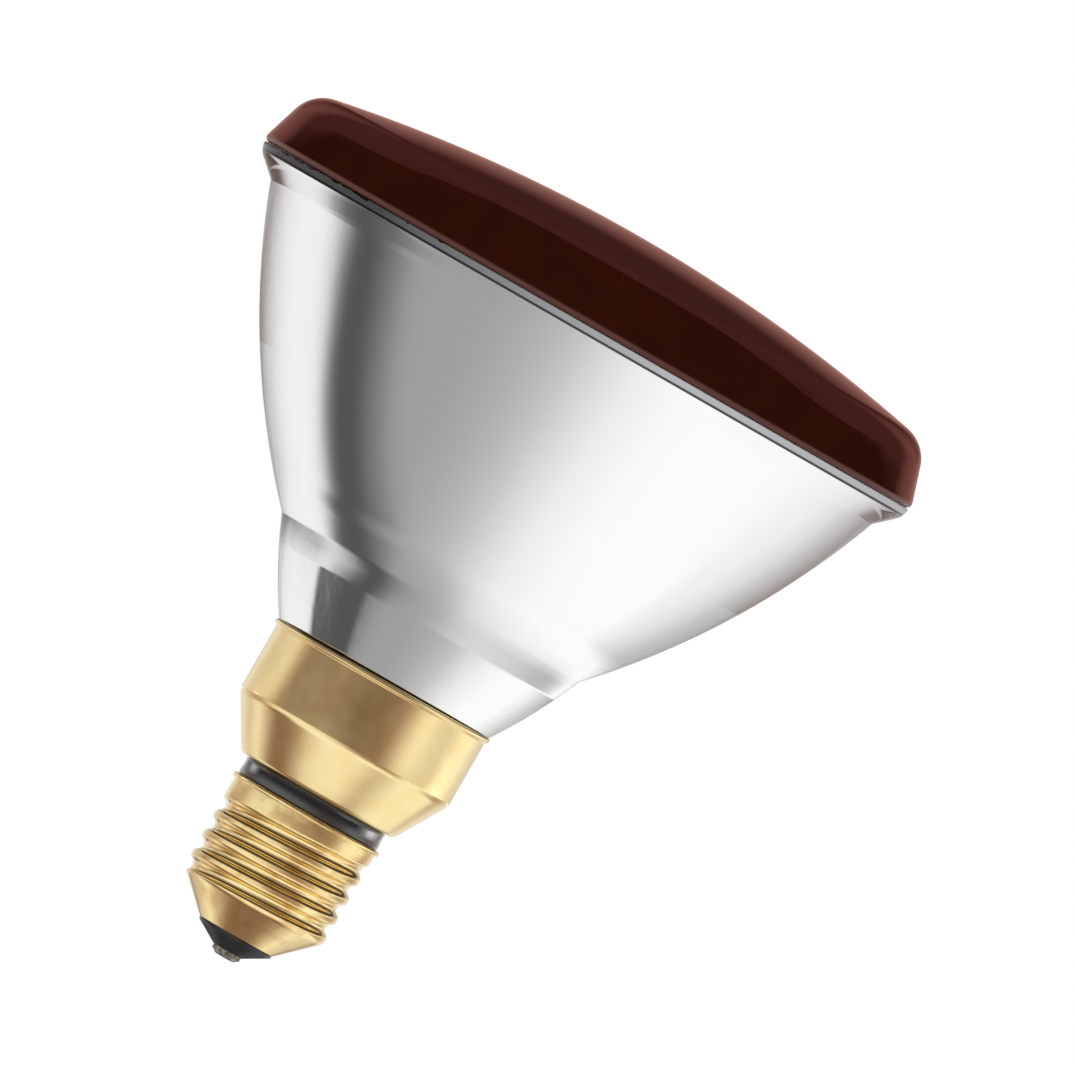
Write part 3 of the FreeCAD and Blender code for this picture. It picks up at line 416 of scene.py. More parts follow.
def makeRedGlass(look):
    # Deep red pressed glass: nearly black across its thickness, glossy, with the press's faint waves. The last
    # millimetre above the seam is paler and duller: its pale colour is a painted highlight, with more roughness.
    material, tree, shader = newMaterial("redPressedGlass", {
        "IOR": 1.47,
    })
    parts = objectParts(tree)
    paleZ, redZ = (seamZ + rise for rise in look["paintedHighlightRise"])
    # Painted highlight: a pale pink band in the base colour just above the seam.
    paintedHighlightBand = addNode(tree, "MapRange", {1: paleZ, 2: redZ}, {"Value": parts.outputs["Z"]})
    cloud = addNode(tree, "TexNoise", {"Scale": 1.0, "Detail": 2.0}, objectCoordinates(tree, (130, 130, 130)))
    body = addNode(tree, "ValToRGB", links={"Fac": cloud})
    setRamp(body, [(0.3, linearColour("#34120a")), (0.7, linearColour("#3a150c"))])
    tint = addNode(tree, "Mix", {**colourMix, 6: linearColour("#5c3630")}, {0: paintedHighlightBand, 7: body})
    clear = addNode(tree, "Math", {"operation": "MULTIPLY", 1: 0.25}, {0: paintedHighlightBand})
    dull = addNode(tree, "MapRange", {3: 0.25, 4: 0.03}, {"Value": paintedHighlightBand})
    waves = addNode(tree, "TexNoise", {"Scale": 1.0, "Detail": 1.0}, objectCoordinates(tree, (70, 70, 70)))
    bump = addNode(tree, "Bump", {"Strength": 0.15, "Distance": 0.00005}, {"Height": waves})
    linkSockets(shader, {"Base Color": tint, "Transmission Weight": clear, "Roughness": dull, "Normal": bump})
    return material


def makeSkirtBrass():
    # Drawn brass, tumbled to a satin: pits of about 0.4 mm soften every reflection, and it is a little uneven.
    material, tree, shader = newMaterial("satinBrass", {
        "Metallic": 1.0,
    })
    cloud = addNode(tree, "TexNoise", {"Scale": 1.0, "Detail": 4.0}, objectCoordinates(tree, (220, 220, 160)))
    tint = addNode(tree, "ValToRGB", links={"Fac": cloud})
    setRamp(tint, [(0.3, linearColour("#f4dc9c")), (0.7, linearColour("#fce8b2"))])
    sheen = addNode(tree, "MapRange", {1: 0.3, 2: 0.7, 3: 0.16, 4: 0.21}, {"Value": cloud})
    pits = addNode(tree, "TexNoise", {"Scale": 1.0, "Detail": 3.0}, objectCoordinates(tree, (2400, 2400, 1900)))
    bump = addNode(tree, "Bump", {"Strength": 0.14, "Distance": 0.00005}, {"Height": pits})
    linkSockets(shader, {"Base Color": tint, "Roughness": sheen, "Normal": bump})
    return material


def makeShellBrass():
    # Rolled brass shell, bright from the rolls, with duller patches and fine scuffs that run round it.
    material, tree, shader = newMaterial("rolledBrass", {
        "Metallic": 1.0,
    })
    patches = addNode(tree, "TexNoise", {"Scale": 1.0, "Detail": 3.0}, objectCoordinates(tree, (300, 300, 300)))
    tint = addNode(tree, "ValToRGB", links={"Fac": patches})
    setRamp(tint, [(0.3, linearColour("#e2c485")), (0.55, linearColour("#f9e2a6"))])
    scuffs = addNode(tree, "TexNoise", {"Scale": 1.0, "Detail": 3.0}, objectCoordinates(tree, (500, 500, 5200)))
    gloss = addNode(tree, "MapRange", {1: 0.35, 2: 0.65, 3: 0.14, 4: 0.08}, {"Value": patches})
    bump = addNode(tree, "Bump", {"Strength": 0.08, "Distance": 0.00003}, {"Height": scuffs})
    linkSockets(shader, {"Base Color": tint, "Roughness": gloss, "Normal": bump})
    return material


def makeGrained(name, darkHex, paleHex, roughness, grainMm, depthMm, settings):
    # A finish with a mottle between two colours and a bump of the same grain. grainMm is the grain's size.
    material, tree, shader = newMaterial(name, settings)
    cells = 1 / (grainMm * mm)
    grain = addNode(tree, "TexNoise", {"Scale": 1.0, "Detail": 3.0}, objectCoordinates(tree, (cells, cells, cells)))
    tint = addNode(tree, "ValToRGB", links={"Fac": grain})
    setRamp(tint, [(0.35, linearColour(darkHex)), (0.65, linearColour(paleHex))])
    dull = addNode(tree, "MapRange", {1: 0.35, 2: 0.65, 3: roughness[1], 4: roughness[0]}, {"Value": grain})
    bump = addNode(tree, "Bump", {"Strength": 0.4, "Distance": depthMm * mm}, {"Height": grain})
    linkSockets(shader, {"Base Color": tint, "Roughness": dull, "Normal": bump})
    return material


def makeClearGlass():
    # Drawn lamp glass of the pumping tube and the bar between the posts, with faint drawing lines.
    material, tree, shader = newMaterial("clearGlass", {
        "Base Color": linearColour("#f2f6f4"),
        "Roughness": 0.02,
        "Transmission Weight": 1.0,
        "IOR": 1.5,
    })
    lines = addNode(tree, "TexNoise", {"Scale": 1.0, "Detail": 1.0}, objectCoordinates(tree, (900, 900, 90)))
    bump = addNode(tree, "Bump", {"Strength": 0.2, "Distance": 0.00005}, {"Height": lines})
    linkSockets(shader, {"Normal": bump})
    return material


pressedGlass = makePressedGlass(seamLook)
aluminiumFilm = makeAluminiumFilm(filmLook)
redGlass = makeRedGlass(seamLook)
skirtBrass = makeSkirtBrass()
shellBrass = makeShellBrass()
ringMoulding = makeGrained("phenolicMoulding", "#232324", "#28282a", (0.3, 0.4), 0.9, 0.002, {
    "Specular IOR Level": 0.1, "Coat Weight": 1.0, "Coat Roughness": 0.01, "Coat IOR": 1.8})  # with its press gloss
capGlass = makeGrained("blackInsulatingGlass", "#0e0e10", "#1b1b1e", (0.12, 0.3), 1.2, 0.02, {})
contactBrass = makeGrained("tinnedBrass", "#6c675c", "#a9a394", (0.3, 0.5), 0.6, 0.01, {"Metallic": 1.0})
tinLead = makeGrained("tinLeadSolder", "#77787a", "#c4c5c6", (0.25, 0.55), 0.5, 0.03, {
    "Metallic": 1.0})  # solder rubbed by the holder's spring
clearGlass = makeClearGlass()
nickelWire = makeGrained("nickelWire", "#928d86", "#b9b4ab", (0.22, 0.36), 0.35, 0.004, {"Metallic": 1.0})
tungstenWire = makeGrained("tungstenWire", "#5c5c60", "#7c7c80", (0.3, 0.45), 0.2, 0.004, {"Metallic": 1.0})
print("materials made")

nodeMaterials = {
    "centre_solder": tinLead,
    "centre_contact": contactBrass,
    "base_insulator": capGlass,
    "screw_shell": shellBrass,
    "insulating_ring": ringMoulding,
    "skirt_collar": skirtBrass,
    "reflector": aluminiumFilm,
    "front_lens": redGlass,
    "side_solder": tinLead,
    **dict.fromkeys(("exhaust_tube", "bridge_bead"), clearGlass),
    **dict.fromkeys(("filament", "filament_anchor"), tungstenWire),
    **dict.fromkeys(("ferrule_centre", "ferrule_shell", "lead_post_centre", "lead_post_shell",
                     "lead_wire_centre", "lead_wire_shell"), nickelWire),
}
for nodeName, material in nodeMaterials.items():
    mesh = nodes[nodeName].data
    mesh.materials.clear()
    mesh.materials.append(material)

# Reflector: heel, neck, bowl and rim flange outside, paraboloid mirror inside.
reflectorSizes = {
    "heelRadius": 18.75 * mm,
    "neckBaseRadius": 19.65 * mm,
    "neckRise": 15.3 * mm,
    "neckTopRadius": 27.9 * mm,
    "neckBulge": 0.42 * mm,
    "bowlRise": 46.1 * mm,
    "bowlTopRadius": 56.45 * mm,
    "bowlCrown": 2.7 * mm,
    "kneeInset": 0.55 * mm,
    "kneeDrop": 1.8 * mm,
    "kneeRound": 2.5 * mm,
    "seamWidth": 4.5 * mm,
    "seamRound": 0.35 * mm,
    "mirrorFocus": 12.25 * mm,
    "bendRise": 7.3 * mm,  # the film leaves the paraboloid here and follows the neck's outside
    "filmDepth": 0.4 * mm,
    "filmSlope": 0.54,
    "cavityWallRadius": 17.0 * mm,
    "cavityRadius": 13.0 * mm,
    "cavityFloorZ": 51.0 * mm,
    "creaseRound": 0.5 * mm,
    "filmBaseGap": 0.04 * mm,
    "heelRound": 1.0 * mm,
    "bowlTopRound": 0.8 * mm,
    "mirrorRows": 80,
    "bendRows": 24,
    "neckRows": 40,
    "columns": 384,
    "sharpDegrees": 20,
}


def makeReflector(sizes):
    neckTopZ = skirtTopZ + sizes["neckRise"]
    bowlTopZ = neckTopZ + sizes["bowlRise"]
    seamInner = rimRadius - sizes["seamWidth"]

    def mirrorRadius(z):
        # r squared = R squared - 4 f (seam - z)
        return np.sqrt(seamInner ** 2 - 4 * sizes["mirrorFocus"] * (seamZ - z))

    outside = outlinePoints([
        (sizes["cavityRadius"], heelZ, 0, 0),
        (sizes["heelRadius"], heelZ, sizes["heelRound"], 0),
        (sizes["heelRadius"], skirtTopZ, 0, 0),
        (sizes["neckBaseRadius"], skirtTopZ, 0, sizes["neckBulge"]),
        (sizes["neckTopRadius"], neckTopZ, sizes["creaseRound"], sizes["bowlCrown"]),
        (sizes["bowlTopRadius"], bowlTopZ, sizes["bowlTopRound"], 0),
        (rimRadius - sizes["kneeInset"], seamZ - sizes["kneeDrop"], sizes["kneeRound"], 0),
        (rimRadius, seamZ, sizes["seamRound"], 0),
        (seamInner, seamZ, 0, 0),
    ], closed=False)
    filmBaseZ = skirtTopZ + sizes["filmBaseGap"]
    bendZ = neckTopZ + sizes["bendRise"]
    mirrorZ = np.linspace(seamZ, bendZ, sizes["mirrorRows"])[1:]
    mirror = np.stack([mirrorRadius(mirrorZ), mirrorZ], axis=1)
    # From the paraboloid to the neck's top: a cubic in z with the given radius and slope at both ends.
    span = bendZ - neckTopZ
    share = np.linspace(1, 0, sizes["bendRows"])[1:]
    cubes = [2 * share ** 3 - 3 * share ** 2 + 1, share ** 3 - 2 * share ** 2 + share,
             3 * share ** 2 - 2 * share ** 3, share ** 3 - share ** 2]
    bend = (cubes[0] * (sizes["neckTopRadius"] - sizes["filmDepth"]) + cubes[1] * span * sizes["filmSlope"]
            + cubes[2] * mirrorRadius(bendZ) + cubes[3] * span * 2 * sizes["mirrorFocus"] / mirrorRadius(bendZ))
    neckFilm = edgePoints((sizes["neckTopRadius"] - sizes["filmDepth"], neckTopZ),
                          (sizes["neckBaseRadius"] - sizes["filmDepth"], filmBaseZ),
                          -sizes["neckBulge"], sizes["neckRows"])[1:]
    mirror = np.vstack([mirror, np.stack([bend, neckTopZ + share * span], axis=1), neckFilm])
    cavity = np.array([
        (sizes["cavityWallRadius"], filmBaseZ),
        (sizes["cavityRadius"], sizes["cavityFloorZ"]),
    ])
    outline = np.vstack([outside, mirror, cavity])
    filmRows = np.arange(len(outline)) >= len(outside) - 1
    columns = sizes["columns"]
    piece = finishMesh("reflector_bowl", *turned(outline, columns), [pressedGlass, aluminiumFilm],
                       "aluminised_glass", sizes["sharpDegrees"], np.repeat(filmRows, columns).astype(int))
    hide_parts("reflector")


makeReflector(reflectorSizes)

# Front glass: domed outside, rounded shoulder, real wall inside.
lensSizes = {
    "seamGap": 0.02 * mm,
    "seamRound": 0.9 * mm,
    "landRise": 1.2 * mm,
    "landRound": 2.0 * mm,
    "sideRadius": 57.5 * mm,
    "domeRadius": 270.0 * mm,
    "shoulderRound": 6.5 * mm,
    "wall": 3.8 * mm,
    "seamWidth": 4.5 * mm,
    "innerDraft": 1.8 * mm,
    "innerRound": 4.0 * mm,
    "columns": 384,
}


def makeLens(sizes):
    def domeZ(radius, sphere, top):
        return top - sphere + math.sqrt(sphere ** 2 - radius ** 2)

    def crownOf(radius, sphere):
        # Sagitta of half the dome's chord, from its edge to the axis.
        rise = sphere - math.sqrt(sphere ** 2 - radius ** 2)
        chord = math.hypot(radius, rise)
        return sphere - math.sqrt(sphere ** 2 - chord ** 2 / 4)

    innerSphere = sizes["domeRadius"] - sizes["wall"]
    innerTop = lensTopZ - sizes["wall"]
    innerEdge = rimRadius - sizes["seamWidth"]
    innerSide = innerEdge - sizes["innerDraft"]
    outerEdgeZ = domeZ(sizes["sideRadius"], sizes["domeRadius"], lensTopZ)
    piece = turnedPiece("red_front_glass", [
        (innerEdge, seamZ + sizes["seamGap"], 0, 0),
        (rimRadius, seamZ + sizes["seamGap"], sizes["seamRound"], 0),
        (rimRadius, seamZ + sizes["landRise"], sizes["landRound"], 0),
        (sizes["sideRadius"], outerEdgeZ, sizes["shoulderRound"],
         crownOf(sizes["sideRadius"], sizes["domeRadius"])),
        (0.0, lensTopZ, 0, 0),
        (0.0, innerTop, 0, -crownOf(innerSide, innerSphere)),
        (innerSide, domeZ(innerSide, innerSphere, innerTop), sizes["innerRound"], 0),
    ], redGlass, "red_front_glass", sizes["columns"])
    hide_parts("front_lens")


makeLens(lensSizes)

# Skirt: a drawn cup with a cone, a straight band and a rolled lip.
skirtSizes = {
    "holeRadius": 9.6 * mm,
    "baseRadius": 14.2 * mm,
    "baseRound": 1.5 * mm,
    "coneRise": 9.0 * mm,
    "radius": 19.5 * mm,
    "shoulderRound": 2.5 * mm,
    "lipRise": 0.9 * mm,
    "lipRound": 0.3 * mm,
    "bandRound": 0.25 * mm,
    "wall": 0.6 * mm,
    "columns": 256,
}


def makeSkirt(sizes):
    slope = (sizes["radius"] - sizes["baseRadius"]) / sizes["coneRise"]
    slant = math.hypot(slope, 1)
    shoulderZ = skirtBaseZ + sizes["coneRise"]
    lipZ = skirtTopZ - sizes["lipRise"]
    inner = sizes["radius"] - sizes["wall"]
    innerShoulderZ = shoulderZ + sizes["wall"] * (slant - 1) / slope
    innerBase = sizes["baseRadius"] + sizes["wall"] * (slope - slant)
    piece = turnedPiece("skirt", [
        (sizes["holeRadius"], skirtBaseZ, 0, 0),
        (sizes["baseRadius"], skirtBaseZ, sizes["baseRound"], 0),
        (sizes["radius"], shoulderZ, sizes["shoulderRound"], 0),
        (sizes["radius"], lipZ, sizes["bandRound"], 0),
        (skirtLipRadius, lipZ, sizes["lipRound"], 0),
        (skirtLipRadius, skirtTopZ, sizes["lipRound"], 0),
        (inner, skirtTopZ, 0, 0),
        (inner, innerShoulderZ, sizes["shoulderRound"], 0),
        (innerBase, skirtBaseZ + sizes["wall"], sizes["baseRound"] - sizes["wall"], 0),
        (sizes["holeRadius"], skirtBaseZ + sizes["wall"], 0, 0),
    ], skirtBrass, "skirt_brass", sizes["columns"])
    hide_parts("skirt_collar")


makeSkirt(skirtSizes)

# Screw shell: dome, thread, plain band and rolled edge, with the thread fading in and out.
shellSizes = {
    "noseRadius": 6.95 * mm,
    "domeRise": 5.8 * mm,
    "domeRound": 2.0 * mm,
    "crestRadius": 13.075 * mm,
    "threadDepth": 1.05 * mm,
    "threadRound": 1.0 * mm,
    "crestFlat": 0.045 * mm,
    "pitch": 3.629 * mm,
    "turns": 3.8,
    "startRise": 5.65 * mm,
    "fadeTurns": 0.16,
    "lipRise": 0.9 * mm,
    "lipRound": 0.35 * mm,
    "wall": 0.35 * mm,
    "columns": 256,
    "rowsPerPitch": 40,
    "domeRows": 36,
    "innerRows": 70,
}


def threadRise(distance, sizes):
    # Height of the thread's surface over its root, at a distance from the root's middle: a circular arc that
    # opens outwards, then one that closes over the crest.
    depth = sizes["threadDepth"] + sizes["crestFlat"]
    arc = sizes["threadRound"]
    half = sizes["pitch"] / 2
    lean = (2 * arc - depth) / (2 * arc)
    meeting = arc * math.sqrt(1 - lean ** 2)
    space = 2 * meeting
    d = np.minimum(distance, space)
    root = arc - np.sqrt(np.maximum(arc ** 2 - d ** 2, 0))
    crest = depth - arc + np.sqrt(np.maximum(arc ** 2 - (space - d) ** 2, 0))
    rise = np.where(d < meeting, root, crest)
    return np.minimum(np.where(distance > half, depth, rise), sizes["threadDepth"])


def makeShell(sizes):
    # Radius at angle a and height z: the blank's outline less the groove's depth, where the groove's middle
    # follows the helix z = start + pitch a / (2 pi) and its depth fades at both ends.
    domeZ = shellNoseZ + sizes["domeRise"]
    lipZ = shellTopZ - sizes["lipRise"]
    blank = outlinePoints([
        (sizes["noseRadius"], shellNoseZ, 0, 0),
        (sizes["crestRadius"], domeZ, sizes["domeRound"], 0),
        (sizes["crestRadius"], lipZ, 0, 0),
    ], closed=False)
    columns = sizes["columns"]
    travelled = np.linspace(0, 1, columns, endpoint=False)  # turns made from the back of the lamp
    angle = 2 * math.pi * travelled + math.pi / 2

    def outerRadius(z):
        blankRadius = np.minimum(np.interp(z, blank[:, 1], blank[:, 0]), sizes["crestRadius"])
        turn = (z - shellNoseZ - sizes["startRise"]) / sizes["pitch"] - travelled
        nearest = np.clip(np.round(turn), 0, math.floor(sizes["turns"]))
        nearest = np.where(nearest + travelled > sizes["turns"] + sizes["fadeTurns"], nearest - 1, nearest)
        along = nearest + travelled
        distance = np.abs(turn - nearest) * sizes["pitch"]
        fadeIn = np.clip((along + sizes["fadeTurns"]) / (2 * sizes["fadeTurns"]), 0, 1)
        fadeOut = np.clip((sizes["turns"] + sizes["fadeTurns"] - along) / (2 * sizes["fadeTurns"]), 0, 1)
        fade = fadeIn * fadeOut
        fade = fade * fade * (3 - 2 * fade)
        return blankRadius - (sizes["threadDepth"] - threadRise(distance, sizes)) * fade

    # Rows of the threaded part climb one pitch in a turn, held between the dome and the lip.
    perTurn = sizes["rowsPerPitch"]
    rowStep = sizes["pitch"] / perTurn
    rowCount = math.ceil((lipZ - domeZ) / rowStep) + perTurn + 1
    threadZ = np.clip(domeZ + (np.arange(rowCount)[:, None] - perTurn + perTurn * travelled) * rowStep, domeZ, lipZ)
    domeRows = np.linspace(shellNoseZ, domeZ, sizes["domeRows"])[:, None] + 0 * travelled
    innerRows = np.linspace(lipZ, shellNoseZ, sizes["innerRows"])[:, None] + 0 * travelled
    lip = outlinePoints([
        (sizes["crestRadius"], lipZ, 0, 0),
        (shellLipRadius, lipZ, sizes["lipRound"], 0),
        (shellLipRadius, shellTopZ, sizes["lipRound"], 0),
        (sizes["crestRadius"] - sizes["wall"], shellTopZ, 0, 0),
    ], closed=False)
    heights = [domeRows, threadZ, lip[:, 1:2] + 0 * travelled, innerRows, domeRows[:1]]
    radii = [outerRadius(domeRows), outerRadius(threadZ), lip[:, 0:1] + 0 * travelled,
             outerRadius(innerRows) - sizes["wall"], outerRadius(domeRows[:1])]
    radius, height = np.vstack(radii), np.vstack(heights)
    points = np.stack([radius * np.cos(angle), radius * np.sin(angle), height], axis=-1).reshape(-1, 3)
    climbing = gridFaces(rowCount, columns, False).reshape(rowCount - 1, columns, 4)
    joined = climbing[:-perTurn, -1, :] + np.array([0, perTurn * columns, perTurn * columns, 0])
    rest = gridFaces(len(radius) - len(domeRows) - rowCount, columns, False)
    faces = np.vstack([
        gridFaces(len(domeRows), columns, False),
        climbing[:, :-1].reshape(-1, 4) + len(domeRows) * columns,
        joined + len(domeRows) * columns,
        rest + (len(domeRows) + rowCount) * columns,
    ])
    piece = finishMesh("screw_cap_shell", points, faces.tolist(), [shellBrass], "shell_brass")
    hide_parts("screw_shell")


makeShell(shellSizes)

# Black ring between the shell and the skirt.
ringSizes = {
    "radius": 12.95 * mm,
    "neckRadius": 9.6 * mm,
    "headRadius": 11.0 * mm,
    "headDrop": 1.0 * mm,
    "boreRadius": 8.0 * mm,
    "spigotRadius": 12.725 * mm,
    "spigotWall": 1.5 * mm,
    "edgeRound": 0.45 * mm,
    "columns": 192,
}


def makeRing(sizes):
    headZ = ringTopZ - sizes["headDrop"]
    spigotInner = sizes["spigotRadius"] - sizes["spigotWall"]
    piece = turnedPiece("insulating_ring_moulding", [
        (sizes["boreRadius"], shellTopZ, 0, 0),
        (spigotInner, shellTopZ, 0, 0),
        (spigotInner, ringBottomZ, 0, 0),
        (sizes["spigotRadius"], ringBottomZ, 0, 0),
        (sizes["spigotRadius"], shellTopZ, 0, 0),
        (sizes["radius"], shellTopZ, sizes["edgeRound"], 0),
        (sizes["radius"], skirtBaseZ, sizes["edgeRound"], 0),
        (sizes["neckRadius"], skirtBaseZ, 0, 0),
        (sizes["neckRadius"], headZ, 0, 0),
        (sizes["headRadius"], headZ, 0, 0),
        (sizes["headRadius"], ringTopZ, 0, 0),
        (sizes["boreRadius"], ringTopZ, 0, 0),
    ], ringMoulding, "ring_moulding", sizes["columns"])
    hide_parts("insulating_ring")


makeRing(ringSizes)

# Black glass of the cap's end and the solder on the contact plate in it.
capEndSizes = {
    "faceRadius": 2.7 * mm,
    "rimRadius": 6.75 * mm,
    "rimZ": 3.6 * mm,
    "rimRound": 0.45 * mm,
    "noseInnerRadius": 6.452 * mm,
    "topRadius": 10.03 * mm,
    "stemRadius": 1.3 * mm,
    "solderRadius": 2.3 * mm,
    "solderTipRadius": 1.2 * mm,
    "solderHeight": 0.55 * mm,
    "solderCrown": 0.16 * mm,
    "faceRound": 0.2 * mm,
    "glassColumns": 160,
    "solderColumns": 128,
}


def makeCapEnd(sizes):
    glass = turnedPiece("insulating_glass", [
        (sizes["stemRadius"], insulatorFaceZ, 0, 0),
        (sizes["faceRadius"], insulatorFaceZ, sizes["faceRound"], 0),
        (sizes["rimRadius"], sizes["rimZ"], sizes["rimRound"], 0),
        (sizes["rimRadius"], shellNoseZ, 0, 0),
        (sizes["noseInnerRadius"], shellNoseZ, 0, 0),
        (sizes["topRadius"], insulatorTopZ, 0, 0),
        (sizes["stemRadius"], insulatorTopZ, 0, 0),
    ], capGlass, "cap_glass", sizes["glassColumns"])
    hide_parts("base_insulator")
    solder = turnedPiece("contact_solder", [
        (0.0, 0.0, 0, 0),
        (sizes["solderTipRadius"], 0.0, 0, sizes["solderCrown"]),
        (sizes["solderRadius"], sizes["solderHeight"], 0, 0),
        (0.0, sizes["solderHeight"], 0, 0),
    ], tinLead, "solder", sizes["solderColumns"])
    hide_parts("centre_solder")


makeCapEnd(capEndSizes)
print("pieces made")

# Studio. The camera and all dull surfaces see plain white. Gloss and glass see cards round the lamp, dark ones
# on the left and in front, paler ones elsewhere.
studio = {
    "floorZ": -50 * mm,
    "floorSize": 8.0,
    "drumRadius": 200 * mm,
    "drumTopZ": 112 * mm,
    "lidZ": 90 * mm,
    "lidRadius": 45 * mm,
    "capCardZ": 26.2 * mm,  # below this height the drum shows the cards that face the screw shell
    "ringCardZ": 31 * mm,  # and from there up to this one those that face the black ring
    "bowlCardZ": 58 * mm,  # above this one it is grey for the bowl's edges
    "bowlCardGrey": 0.5,
    "cardBlend": 1 * mm,
    "bowlBlend": 2 * mm,
    "drumColumns": 96,
    "lidGlow": 0.4,  # seen from below
    "lidTopGlow": 0.1,
    "floorGlow": 0.3,
}

# Cards: (compass angle in degrees, brightness, warmth), with 0 towards the viewer and -90 on the left.
skirtCards = [
    (-180, 0.7, 0.2), (-160, 0.78, 0.2), (-146, 0.92, 0.1), (-130, 0.73, 0.2), (-115, 0.76, 0.2), (-107, 0.82, 0.1),
    (-97, 0.9, 0.1), (-90, 0.77, 0.2), (-85, 0.56, 0.6), (-78, 0.32, 1), (-72, 0.26, 1), (-60, 0.22, 1),
    (-47, 0.25, 1), (-35, 0.28, 1), (-24, 0.24, 1), (-12, 0.2, 1), (0, 0.19, 1), (12, 0.21, 1), (23, 0.25, 1),
    (33, 0.36, 0.9), (40, 0.6, 0.6), (47, 0.88, 0.3), (55, 1.14, 0), (63, 1.14, 0), (74, 0.93, 0.1),
    (89, 0.78, 0.1), (97, 0.9, 0.1), (106, 1.12, 0), (122, 1.12, 0), (137, 0.9, 0.1), (151, 0.76, 0.2),
    (180, 0.7, 0.2),
]
shellCards = [
    (-180, 0.85, 0.1), (-153, 0.9, 0.1), (-140, 0.78, 0.2), (-127, 0.6, 0.5), (-115, 0.5, 0.6), (-106, 0.5, 0.6),
    (-97, 0.65, 0.4), (-88, 0.8, 0.2), (-74, 0.95, 0), (-47, 1.0, 0), (-35, 0.96, 0), (-23, 0.9, 0.1),
    (-11, 0.84, 0.2), (0, 0.68, 0.4), (12, 0.5, 0.7), (23, 0.42, 0.9), (34, 0.41, 0.9), (47, 0.46, 0.8),
    (57, 0.6, 0.5), (64, 0.85, 0.1), (72, 1.08, 0), (90, 1.08, 0), (98, 0.92, 0.1), (107, 0.68, 0.4),
    (118, 0.52, 0.6), (128, 0.52, 0.6), (140, 0.68, 0.3), (152, 0.88, 0.1), (180, 0.85, 0.1),
]
ringCards = [
    (-180, 0.9, 0), (-160, 1.4, 0), (-150, 1.0, 0), (-140, 0.5, 0), (-128, 0.5, 0), (-119, 2.3, 0), (-112, 2.4, 0),
    (-105, 1.0, 0), (-98, 0.08, 0), (0, 0.03, 0), (75, 0.05, 0), (86, 0.7, 0), (96, 2.0, 0), (104, 4.4, 0),
    (114, 4.2, 0), (122, 2.2, 0), (137, 0.6, 0), (148, 0.9, 0), (160, 1.4, 0), (180, 0.9, 0),
]


def compassShare(tree, toRight, away):
    # The compass angle of a place or direction, -180 to 180 degrees, as 0 to 1.
    ahead = addNode(tree, "Math", {"operation": "MULTIPLY", 1: -1.0}, {0: away})
    compass = addNode(tree, "Math", {"operation": "ARCTAN2"}, {0: toRight, 1: ahead})
    return addNode(tree, "MapRange", {1: -math.pi, 2: math.pi}, {"Value": compass})


def makeFloor(settings):
    half = settings["floorSize"] / 2
    mesh = bpy.data.meshes.new("floor")
    z = settings["floorZ"]
    mesh.from_pydata([(-half, -half, z), (half, -half, z), (half, half, z), (-half, half, z)], [], [(0, 1, 2, 3)])
    floor = addObject("floor", mesh)
    floor.visible_glossy = False
    floor.visible_transmission = False
    material, tree, shader = newMaterial("paleFloor", {
        "Base Color": linearColour("#f0f0f0"),
        "Roughness": 1.0,
        "Specular IOR Level": 0.0,
        "Emission Color": grey(1.0),
    })
    lightPath = addNode(tree, "LightPath")
    glow = addNode(tree, "Math", {"operation": "MULTIPLY", 1: settings["floorGlow"]}, {
        0: lightPath.outputs["Is Camera Ray"]})
    linkSockets(shader, {"Emission Strength": glow})
    mesh.materials.append(material)


def glossOnly(card):
    for ray in ("camera", "diffuse", "transmission", "shadow"):
        setattr(card, "visible_" + ray, False)


def glowMaterial(name):
    material = bpy.data.materials.new(name)
    material.use_nodes = True
    material.cycles.emission_sampling = "NONE"
    material.node_tree.nodes.clear()
    return material, material.node_tree


